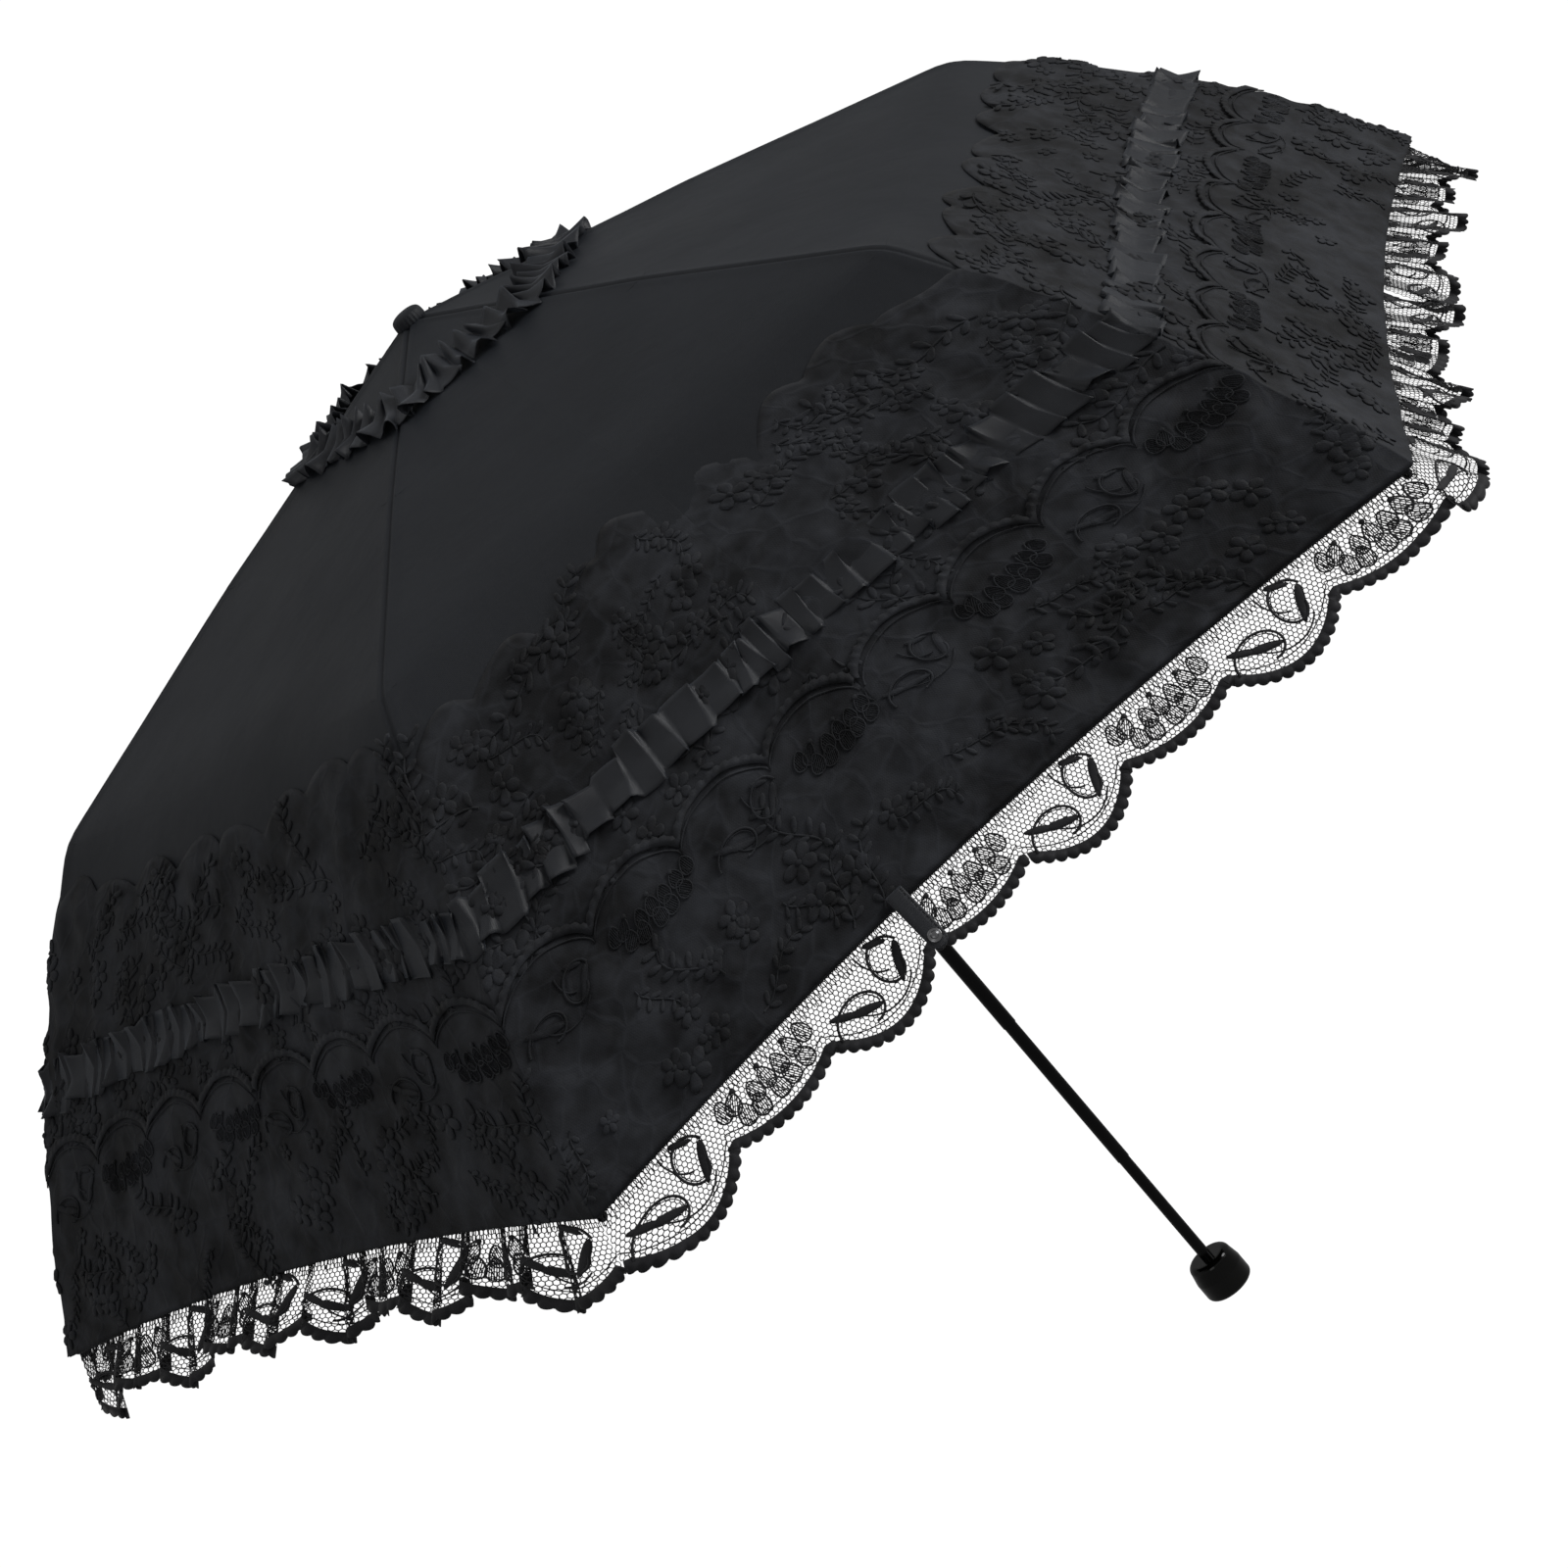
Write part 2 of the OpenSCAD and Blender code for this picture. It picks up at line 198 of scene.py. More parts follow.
def grid_faces(rows, cols, wrap=False):
    i, j = np.meshgrid(np.arange(rows - 1), np.arange(cols if wrap else cols - 1), indexing="ij")
    nxt = (j + 1) % cols
    corners = [i * cols + j, (i + 1) * cols + j, (i + 1) * cols + nxt, i * cols + nxt]
    return np.stack(corners, -1).reshape(-1, 4)


def add_modifier(obj, kind, **values):
    modifier = obj.modifiers.new(kind.title(), kind)
    for key, value in values.items():
        setattr(modifier, key, value)
    return modifier


def applied(obj):
    """Replaces an object's mesh by its evaluated one and drops its modifiers."""
    graph = bpy.context.evaluated_depsgraph_get()
    mesh = bpy.data.meshes.new_from_object(obj.evaluated_get(graph))
    obj.modifiers.clear()
    obj.data = mesh
    return obj


def ripple(places, size, seed, waves=9):
    """Smooth, seeded, uneven waves of about this size through space, mostly between -1 and 1."""
    rng = np.random.default_rng(seed)
    total = np.zeros(places.shape[:-1])
    for _ in range(waves):
        way = rng.normal(size=3)
        way /= np.linalg.norm(way)
        length = size * rng.uniform(0.6, 1.5)
        total = total + np.sin(places @ way * 2 * math.pi / length + rng.uniform(0, 6.28))
    return total / math.sqrt(waves)


# %% [markdown]
# ## Shader effects used by more than one finish
# Threads, mottling and lace motifs turn up in several finishes, so each is a node group with named inputs
# and is placed in a material with its own values. A group gives out heights and masks only. The Principled
# shader stays in the material, where its plain numbers can be read.

# %% Group helpers


def new_group(name, inputs, outputs):
    group = bpy.data.node_groups.new(name, "ShaderNodeTree")
    for label, value in inputs.items():
        kind = "NodeSocketVector" if value is None else "NodeSocketFloat"
        socket = group.interface.new_socket(name=label, in_out="INPUT", socket_type=kind)
        if value is not None:
            socket.default_value = value
    for label in outputs:
        group.interface.new_socket(name=label, in_out="OUTPUT", socket_type="NodeSocketFloat")
    return group, group.nodes.new("NodeGroupInput"), group.nodes.new("NodeGroupOutput")


def math_node(tree, operation, a, b=None, clamp=False):
    node = tree.nodes.new("ShaderNodeMath")
    node.operation = operation
    node.use_clamp = clamp
    for socket, value in zip(node.inputs, (a, b)):
        if value is None:
            continue
        if isinstance(value, (int, float)):
            socket.default_value = value
        else:
            tree.links.new(value, socket)
    return node.outputs[0]


def threads_group():
    """Over-and-under threads: two crossed sets of ridges."""
    group, given, out = new_group("threads", {"Vector": None, "Threads per metre": 2500.0}, ["Height"])
    split = group.nodes.new("ShaderNodeSeparateXYZ")
    group.links.new(given.outputs["Vector"], split.inputs[0])
    ridges = []
    for axis, other in ((0, 1), (1, 0)):
        along = math_node(group, "MULTIPLY", split.outputs[axis], given.outputs["Threads per metre"])
        across = math_node(group, "MULTIPLY", split.outputs[other], given.outputs["Threads per metre"])
        wave = math_node(group, "SINE", math_node(group, "MULTIPLY", along, 2 * math.pi))
        gate = math_node(group, "SINE", math_node(group, "MULTIPLY", across, math.pi))
        ridges.append(math_node(group, "MULTIPLY", wave, gate))
    group.links.new(math_node(group, "MAXIMUM", *ridges), out.inputs["Height"])
    return group


def mottle_group():
    """Slow uneven patches between a low and a high value."""
    group, given, out = new_group(
        "mottle", {"Vector": None, "Scale": 8.0, "Low": 0.4, "High": 0.6}, ["Value"])
    noise = group.nodes.new("ShaderNodeTexNoise")
    noise.inputs["Detail"].default_value = 4
    group.links.new(given.outputs["Vector"], noise.inputs["Vector"])
    group.links.new(given.outputs["Scale"], noise.inputs["Scale"])
    spread = group.nodes.new("ShaderNodeMapRange")
    spread.inputs["From Min"].default_value = 0.3
    spread.inputs["From Max"].default_value = 0.7
    group.links.new(noise.outputs[0], spread.inputs["Value"])
    group.links.new(given.outputs["Low"], spread.inputs["To Min"])
    group.links.new(given.outputs["High"], spread.inputs["To Max"])
    group.links.new(spread.outputs[0], out.inputs["Value"])
    return group


def blossom_group():
    """Blurred flower heads and stems of a crowded lace, as one mask from 0 to 1."""
    group, given, out = new_group("blossom", {"Vector": None, "Scale": 60.0}, ["Mask"])
    warp = group.nodes.new("ShaderNodeTexNoise")
    warp.inputs["Scale"].default_value = 45
    group.links.new(given.outputs["Vector"], warp.inputs["Vector"])
    shift = group.nodes.new("ShaderNodeVectorMath")
    shift.operation = "MULTIPLY_ADD"
    shift.inputs[1].default_value = (0.012, 0.012, 0.012)
    group.links.new(warp.outputs["Color"], shift.inputs[0])
    group.links.new(given.outputs["Vector"], shift.inputs[2])
    cells = group.nodes.new("ShaderNodeTexVoronoi")
    cells.feature = "DISTANCE_TO_EDGE"
    group.links.new(shift.outputs[0], cells.inputs["Vector"])
    group.links.new(given.outputs["Scale"], cells.inputs["Scale"])
    petals = group.nodes.new("ShaderNodeTexVoronoi")
    petals.feature = "SMOOTH_F1"
    group.links.new(shift.outputs[0], petals.inputs["Vector"])
    group.links.new(math_node(group, "MULTIPLY", given.outputs["Scale"], 2.7), petals.inputs["Scale"])
    heads = []
    for texture, steepness in ((cells, 9.0), (petals, 1.7)):
        away = math_node(group, "MULTIPLY", texture.outputs["Distance"], steepness, True)
        heads.append(math_node(group, "SUBTRACT", 1.0, away))
    group.links.new(math_node(group, "MAXIMUM", *heads), out.inputs["Mask"])
    return group


THREADS, MOTTLE, BLOSSOM = threads_group(), mottle_group(), blossom_group()
print("shader groups:", THREADS.name, MOTTLE.name, BLOSSOM.name)

# %% Material helper


class Finish:
    """A material with a Principled shader and short calls to place groups and textures."""

    def __init__(self, name, **sockets):
        self.material = bpy.data.materials.new(name)
        self.material.use_nodes = True
        self.tree = self.material.node_tree
        self.shader = self.tree.nodes["Principled BSDF"]
        for key, value in sockets.items():
            self.shader.inputs[key.replace("_", " ")].default_value = value
        coords = self.tree.nodes.new("ShaderNodeTexCoord")
        self.uv = coords.outputs["UV"]
        self.object = coords.outputs["Object"]

    def group(self, group, vector, **values):
        node = self.tree.nodes.new("ShaderNodeGroup")
        node.node_tree = group
        self.tree.links.new(vector, node.inputs["Vector"])
        for key, value in values.items():
            node.inputs[key.replace("_", " ")].default_value = value
        return node.outputs[0]

    def math(self, operation, a, b=None, clamp=False):
        return math_node(self.tree, operation, a, b, clamp)

    def colour(self, factor, low, high):
        mix = self.tree.nodes.new("ShaderNodeMix")
        mix.data_type = "RGBA"
        mix.inputs[6].default_value = (*low, 1)
        mix.inputs[7].default_value = (*high, 1)
        self.tree.links.new(factor, mix.inputs[0])
        self.tree.links.new(mix.outputs[2], self.shader.inputs["Base Color"])

    def roughness(self, value):
        self.tree.links.new(value, self.shader.inputs["Roughness"])

    def bump(self, height, distance, strength=1.0):
        node = self.tree.nodes.new("ShaderNodeBump")
        node.inputs["Distance"].default_value = distance
        node.inputs["Strength"].default_value = strength
        self.tree.links.new(height, node.inputs["Height"])
        self.tree.links.new(node.outputs[0], self.shader.inputs["Normal"])


# %% [markdown]
# ## Finishes
# Black cloth is never one black. The satin-weave panels are smooth and catch a broad sheen, the lace is
# duller and rougher because its threads scatter light, and the ribbon is the shiniest cloth of the three.
# The knob is polished plastic, the shaft and ribs are painted steel.

# %% Cloth finishes


def satin_finish(name, low, high, rough, sheen):
    f = Finish(name, Sheen_Weight=sheen, Sheen_Roughness=0.45, Specular_IOR_Level=0.2)
    f.shader.inputs["Sheen Tint"].default_value = (0.75, 0.85, 1, 1)
    f.colour(f.group(MOTTLE, f.object, Scale=9.0, Low=0.0, High=1.0), low, high)
    f.roughness(f.group(MOTTLE, f.object, Scale=14.0, Low=rough - 0.05, High=rough + 0.06))
    threads = f.group(THREADS, f.uv, Threads_per_metre=1800.0)
    creases = f.group(MOTTLE, f.object, Scale=26.0, Low=0.0, High=14.0)
    f.bump(f.math("ADD", threads, creases), 0.00005, 0.8)
    return f.material


def lace_finish(name, low, high, scale):
    f = Finish(name, Sheen_Weight=0.03, Sheen_Roughness=0.6, Specular_IOR_Level=0.12)
    mask = f.group(BLOSSOM, f.uv, Scale=scale)
    patches = f.math("MULTIPLY", f.group(MOTTLE, f.object, Scale=24.0, Low=0.0, High=1.0), 0.5)
    specks = f.math("MULTIPLY", f.group(MOTTLE, f.object, Scale=95.0, Low=0.0, High=1.0), 0.3)
    shade = f.math("ADD", f.math("ADD", patches, specks), f.math("MULTIPLY", mask, 0.2))
    f.colour(f.math("MULTIPLY", f.math("SUBTRACT", shade, 0.25), 1.9, True), low, high)
    f.roughness(f.math("ADD", f.math("MULTIPLY", mask, 0.2), 0.62))
    threads = f.group(THREADS, f.uv, Threads_per_metre=900.0)
    f.bump(f.math("ADD", mask, f.math("MULTIPLY", threads, 0.15)), 0.0003, 0.8)
    return f.material


SATIN = satin_finish("black_satin_weave", (0.0066, 0.0076, 0.0098), (0.0104, 0.0118, 0.0148), 0.55, 0.02)
RIBBON = satin_finish("black_ribbon", (0.0085, 0.0092, 0.0112), (0.0160, 0.0172, 0.0205), 0.42, 0.07)
LACE = lace_finish("black_lace_cloth", (0.0028, 0.0030, 0.0038), (0.0200, 0.0215, 0.0255), 55.0)


def thread_finish():
    f = Finish("black_lace_thread", Sheen_Weight=0.08, Specular_IOR_Level=0.18)
    patches = f.group(MOTTLE, f.object, Scale=60.0, Low=0.0, High=1.0)
    f.colour(patches, (0.005, 0.005, 0.006), (0.015, 0.015, 0.017))
    f.roughness(f.group(MOTTLE, f.object, Scale=90.0, Low=0.6, High=0.85))
    f.bump(f.group(MOTTLE, f.object, Scale=900.0, Low=0.0, High=1.0), 0.0001, 0.7)
    return f.material


THREAD = thread_finish()

# %% Hard finishes


def hard_finish(name, low, high, rough, grain, depth, **sockets):
    f = Finish(name, **sockets)
    f.colour(f.group(MOTTLE, f.object, Scale=40.0, Low=0.0, High=1.0), low, high)
    f.roughness(f.group(MOTTLE, f.object, Scale=120.0, Low=rough * 0.8, High=rough * 1.25))
    f.bump(f.group(MOTTLE, f.object, Scale=grain, Low=0.0, High=1.0), depth, 0.5)
    return f.material


KNOB = hard_finish("polished_black_plastic", (0.0008, 0.0008, 0.0007), (0.002, 0.002, 0.0017),
                   0.1, 300.0, 0.00003, Specular_IOR_Level=0.14, Coat_Weight=0.1, Coat_Roughness=0.04)
PAINT = hard_finish("black_satin_paint", (0.0008, 0.0008, 0.0009), (0.002, 0.002, 0.0022),
                    0.2, 900.0, 0.00002, Specular_IOR_Level=0.12, Coat_Weight=0.03, Coat_Roughness=0.1)
NYLON = hard_finish("moulded_black_nylon", (0.010, 0.010, 0.011), (0.016, 0.016, 0.017),
                    0.42, 700.0, 0.00005)
WIRE = hard_finish("drawn_steel_wire", (0.30, 0.30, 0.31), (0.42, 0.42, 0.43),
                   0.32, 1200.0, 0.00002, Metallic=1.0)
NICKEL = hard_finish("black_nickel_plate", (0.14, 0.14, 0.145), (0.20, 0.20, 0.205),
                     0.24, 800.0, 0.00001, Metallic=1.0)
print("finishes made:", len(bpy.data.materials))

# %% Finishes onto the CAD pieces
CAD_FINISH = {
    "knob": KNOB, "knob_plug": NYLON, "tube_inner": PAINT, "tube_lower": PAINT, "tube_middle": PAINT,
    "tube_top": PAINT, "crown": NYLON, "crown_wire": WIRE, "runner": NYLON, "runner_wire": WIRE,
    "runner_latch": WIRE,
}
for name, obj in frame["nodes"].items():
    finish = CAD_FINISH.get(name, PAINT)
    obj.data.materials.clear()
    obj.data.materials.append(finish)

# %% [markdown]
# ## Attaching cloth to the frame
# Each sixth of the canopy is cut where the rib bends, so that a piece rides on one rib section and moves
# with it. When the frame folds, the real cloth gathers between the ribs.


def attach(obj, part, k):
    """Piece rides on body part_k."""
    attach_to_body(obj, f"{part}_{k}")
    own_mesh(obj)


def mesh_area(obj):
    return sum(p.area for p in obj.data.polygons)


# %% [markdown]
# ## The satin panels
# Real panels are cut as triangles and sewn together over the ribs. Each piece here holds the two half
# panels beside one rib, so its middle is the seam. The seam is a row of close columns with a small groove
# and a raised edge, made in the mesh so that it is there from every side.

# %% Cloth pieces
CLOTH_T = 0.0005
PANEL_MESH = 0.005
SEAM = [0.0, 0.0006, 0.0012, 0.0026, 0.0040]


def seam_height(t):
    """A groove on the stitching line and a low ridge beside it, t metres from the rib."""
    t = np.abs(t)
    return 0.0006 * np.exp(-((t - 0.0026) / 0.0012) ** 2) - 0.0009 * np.exp(-(t / 0.0008) ** 2)


def columns(radius, spacing):
    """Shares u across a half panel at this radius: close at the seam, then evenly spaced."""
    width = radius / 2
    near = [t / width for t in SEAM if t < width * 0.6]
    count = max(4, int((width * (1 - near[-1])) / spacing))
    far = [1 - t / width for t in (0.0008, 0.0002, 0.0)]
    return np.array(near + list(np.linspace(near[-1], far[0], count)[1:]) + far[1:])


def close_ends(start, end, spacing):
    """Even steps from start to end, with two very small ones at each end.

    Neighbouring pieces meet with almost the same normals there, so the cut between them doesn't show.
    """
    tiny = np.array([0.0, 0.0002, 0.0008])
    inner = np.linspace(start + tiny[-1], end - tiny[-1], max(5, int((end - start) / spacing)))
    return np.concatenate([start + tiny[:-1], inner, end - tiny[1::-1]])


def thicken(obj, thickness):
    """Gives a sheet whose faces look outwards a second side underneath, with crisp rims."""
    faces = len(obj.data.polygons)
    add_modifier(obj, "SOLIDIFY", thickness=thickness, offset=-1.0)
    applied(obj)
    for polygon in obj.data.polygons[2 * faces:]:
        polygon.use_smooth = False
    return obj


def cloth_piece(name, k, s0, s1, spacing):
    half = columns(radius_at(s1), spacing)
    us = np.concatenate([-half[::-1], half[1:]])
    ss = close_ends(s0, s1, spacing)
    s, u = np.meshgrid(ss, us, indexing="ij")
    x = u * np.interp(s, rib_s, rib_p[:, 0]) / 2
    base = on_canopy(s, u, CLOTH_OFF, k)
    slack = np.sin(np.pi / 2 * np.abs(u)) ** 2 * np.clip(s / S_TIP, 0, 1)
    puff = (0.0015 * ripple(base, 0.15, 3) + 0.00025 * ripple(base, 0.045, 4)) * slack
    verts = on_canopy(s, u, CLOTH_OFF + seam_height(x) + puff, k)
    obj = mesh_object(name, verts, grid_faces(len(ss), len(us)), np.stack([x, s], -1).reshape(-1, 2))
    obj.data.materials.append(SATIN)
    area = mesh_area(obj)
    return thicken(obj, CLOTH_T), area, (radius_at(s1), s1 - s0)


cloth, cut = {}, {}
for k in range(1, RIBS + 1):
    for part, s0, s1, node in (("top", START, S_A, "inner"), ("middle", S_A, S_B, "middle"),
                               ("outer", S_B, S_TIP, "outer")):
        obj, area, flat = cloth_piece(f"panel_{node}_{k}", k, s0, s1, PANEL_MESH)
        cloth[part, k] = obj
        attach(obj, part, k)
        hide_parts(f"canopy_{node}_{k}")
        cut[part, k] = dict(flat=flat, area=min(area, flat[0] * flat[1]), held="stretched")
sixth = sum(cut[part, 1]["area"] for part in ("top", "middle", "outer"))
print(f"one sixth of the canopy is {sixth:.4f} square metres of cloth")


# %% [markdown]
# ## Lace is thread
# Lace is a fine six-sided net, thick cords that outline the pattern, and patches of close stitches that
# fill the petals. Each is real thread here, so the pattern has holes that light comes through: a cord is a
# five-sided tube along a path, the net and the fillings are thin three-sided threads, and a raised bud is a
# low dome. All are drawn flat first: x along the lace, y towards the crown, z towards the viewer.

# %% Cords, threads and petals
CORD = 0.00055
NET_THREAD = 0.00021
NET_CELL = 0.0022


def cord_mesh(path, radius, sides=5, closed=False):
    """Vertices and faces of a tube along a flat path of (x, y) points."""
    p = np.asarray(path, float)
    t = (np.roll(p, -1, 0) - np.roll(p, 1, 0)) / 2 if closed else np.gradient(p, axis=0)
    t /= np.maximum(np.linalg.norm(t, axis=1, keepdims=True), 1e-9)
    ring = np.arange(sides) * 2 * math.pi / sides + math.pi / 2
    x = p[:, :1] - t[:, 1:] * np.cos(ring) * radius
    y = p[:, 1:] + t[:, :1] * np.cos(ring) * radius
    z = np.broadcast_to(np.sin(ring) * radius, x.shape)
    rows = len(p)
    faces = grid_faces(rows, sides, wrap=True)[:, ::-1].tolist()
    last = (rows - 1) * sides
    if closed:
        faces += [[last + (j + 1) % sides, (j + 1) % sides, j, last + j] for j in range(sides)]
    else:
        faces += [list(range(sides)), [last + j for j in range(sides)][::-1]]
    return np.stack([x, y, z], -1).reshape(-1, 3), faces


def dome_mesh(outline, height):
    """A closed low dome inside an outline that runs anticlockwise."""
    o = np.asarray(outline, float)
    c, n = o.mean(0), len(o)
    rings = [np.column_stack([c + (o - c) * share, np.full(n, height * up)])
             for share, up in ((1, 0), (0.8, 0.7), (0.4, 0.95))]
    verts = np.vstack([*rings, [[*c, height]], [[*c, -height * 0.3]]])
    faces = grid_faces(3, n, wrap=True)[:, ::-1].tolist()
    faces += [[2 * n + j, 2 * n + (j + 1) % n, 3 * n] for j in range(n)]
    faces += [[(j + 1) % n, j, 3 * n + 1] for j in range(n)]
    return verts, faces


def threads_mesh(segments, half):
    """Three-sided threads along flat segments of shape (n, 2 ends, 2)."""
    segments = np.asarray(segments, float)
    d = segments[:, 1] - segments[:, 0]
    n = np.stack([-d[:, 1], d[:, 0]], 1) / np.linalg.norm(d, axis=1, keepdims=True) * half
    corners = [np.column_stack([segments[:, e] + n * m, np.full(len(segments), z * half)])
               for e in (0, 1) for m, z in ((-1, -0.6), (1, -0.6), (0, 0.9))]
    base = np.arange(len(segments))[:, None, None] * 6
    faces = base + np.array([[0, 3, 4, 1], [1, 4, 5, 2], [2, 5, 3, 0]])[None]
    return np.stack(corners, 1).reshape(-1, 3), faces.reshape(-1, 4).tolist()


def petal(x, y, length, width, angle, points=14):
    """Outline of a rounded petal that starts at (x, y) and points along an angle."""
    a = np.linspace(0, 2 * math.pi, points, endpoint=False)
    px = length * (0.5 - 0.5 * np.cos(a))
    py = -width / 2 * np.sin(a) * (0.6 + 0.5 * px / length)
    c, s = math.cos(angle), math.sin(angle)
    return np.column_stack([x + px * c - py * s, y + px * s + py * c])


def filled(outline, spacing, half, angle):
    """Close parallel threads inside an outline."""
    c, s = math.cos(angle), math.sin(angle)
    turn = np.array([[c, -s], [s, c]])
    here = outline @ turn
    there = np.roll(here, -1, 0)
    segments = []
    for level in np.arange(here[:, 1].min() + spacing / 2, here[:, 1].max(), spacing):
        hit = (here[:, 1] - level) * (there[:, 1] - level) < 0
        if hit.sum() >= 2:
            share = (level - here[hit, 1]) / (there[hit, 1] - here[hit, 1])
            at = here[hit, 0] + share * (there[hit, 0] - here[hit, 0])
            segments.append([[at.min(), level], [at.max(), level]])
    return threads_mesh(np.array(segments) @ turn.T, half)


def merged(parts):
    verts, faces, start = [], [], 0
    for v, f in parts:
        verts.append(v)
        faces += [[i + start for i in face] for face in f]
        start += len(v)
    return np.vstack(verts), faces


# %% [markdown]
# ## The frill's pattern
# The frill's scallops take turns. The deeper one is open net with two big loops and slender leaves; the
# shallower one has a crowd of stitched petals under the heading. A close band with small lobes runs along
# the whole lower edge, and a heading band is sewn to the rim.

# %% Motifs
SCALLOP = 0.0545
OPEN_DEPTH, DENSE_DEPTH, CUSP_DEPTH = 0.037, 0.029, 0.021


def arc(cx, cy, rx, ry, start, end, tilt=0.0, points=22):
    a = np.linspace(start, end, points)
    x, y = rx * np.cos(a), ry * np.sin(a)
    c, s = math.cos(tilt), math.sin(tilt)
    return np.column_stack([cx + x * c - y * s, cy + x * s + y * c])


def curl(cx, cy, rx, ry, start, end, shrink, points=30):
    """An arc that draws in towards its centre, to this share of its radius at its end."""
    a = np.linspace(start, end, points)
    k = 1 - (1 - shrink) * np.linspace(0, 1, points) ** 2
    return np.column_stack([cx + rx * k * np.cos(a), cy + ry * k * np.sin(a)])


def open_motif():
    """A tall loop, a long arch beside it, and slender leaves, in half scallop widths and depths."""
    w, d = SCALLOP / 2, OPEN_DEPTH
    tall = curl(0.45 * w, -0.40 * d, 0.33 * w, 0.29 * d, 0.5, 5.9, 0.55)
    arch = curl(-0.34 * w, -0.66 * d, 0.50 * w, 0.30 * d, math.pi, -1.2, 0.35)
    stem = arc(0.42 * w, -0.10 * d, 0.34 * w, 0.36 * d, math.pi, 1.45 * math.pi)
    under = arc(0.12 * w, -0.34 * d, 0.62 * w, 0.44 * d, -2.6, -0.7)
    parts = [cord_mesh(tall, CORD * 1.15), cord_mesh(arch, CORD * 1.1), cord_mesh(stem, CORD * 0.8),
             cord_mesh(under, CORD * 0.7, sides=4)]
    for line, inset in ((tall, 0.86), (arch, 0.84)):
        middle = line.mean(0)
        parts.append(cord_mesh(middle + (line[3:-5] - middle) * inset, CORD * 0.4, sides=4))
    for x, y, length, width, angle in ((0.40, 0.66, 0.62, 0.15, 1.05), (-0.02, 0.66, 0.52, 0.14, 2.8),
                                       (-0.80, 0.40, 0.42, 0.12, -0.5), (0.62, 0.20, 0.36, 0.10, 2.7)):
        leaf = petal(x * w, -y * d, length * w, width * w, angle)
        parts += [dome_mesh(leaf, 0.0004), cord_mesh(leaf, CORD * 0.5, sides=4, closed=True)]
    return merged(parts)


def dense_motif():
    """A crowd of stitched petals under the heading."""
    w = SCALLOP / 2
    rng = np.random.default_rng(4)
    parts = []
    for count, top, size, width in ((7, 0.0030, 0.0092, 0.0078), (5, 0.0088, 0.0094, 0.0084)):
        for x in np.linspace(-0.11, 0.11, count) * count:
            angle = -math.pi / 2 + 0.6 * x + rng.uniform(-0.35, 0.35)
            foot = -top - 0.005 * (1 - x * x) + rng.uniform(-0.0008, 0.0008)
            shape = petal(x * w, foot, size, width, angle)
            parts.append(filled(shape, 0.0009, 0.00022, angle + rng.uniform(-0.4, 0.4)))
            parts.append(cord_mesh(shape, CORD * 0.7, closed=True))
            parts.append(cord_mesh(shape[[0, 3, 7]] * 0.7 + shape.mean(0) * 0.3, CORD * 0.5, sides=4))
    for x in (-0.5, 0.0, 0.5):
        parts.append(dome_mesh(petal(x * w - 0.0014, -0.0062, 0.0028, 0.0028, 0.0, 10), 0.0009))
    return merged(parts)


def flower_motif(size=0.0075, petals=5):
    """A small flower, for the lace that lies on the canopy."""
    parts = [dome_mesh(petal(0, 0, size, size * 0.75, i * 2 * math.pi / petals + 0.3, 9), 0.0007)
             for i in range(petals)]
    parts.append(dome_mesh(petal(-size * 0.2, 0, size * 0.4, size * 0.4, 0, 7), 0.0014))
    return merged(parts)


def sprig_motif(size=0.017):
    """A curved stem with leaves on both sides, for the lace that lies on the canopy."""
    stem = np.column_stack([np.linspace(-size, size, 12), 0.45 * size * np.sin(np.linspace(-1.6, 2.2, 12))])
    parts = [cord_mesh(stem, CORD * 0.9, sides=4)]
    for i in range(1, 12, 2):
        for side in (-1, 1):
            parts.append(dome_mesh(petal(*stem[i], size * 0.42, size * 0.2, side * 0.9 + 0.3, 8), 0.0006))
    return merged(parts)


# %% [markdown]
# ## Setting a motif along a row
# A motif is set on every point of a flat row by one Geometry Nodes tree, with seeded random turns and
# sizes, made real and given its material. The flat row is then wrapped like any other flat piece.

# %% The row tree


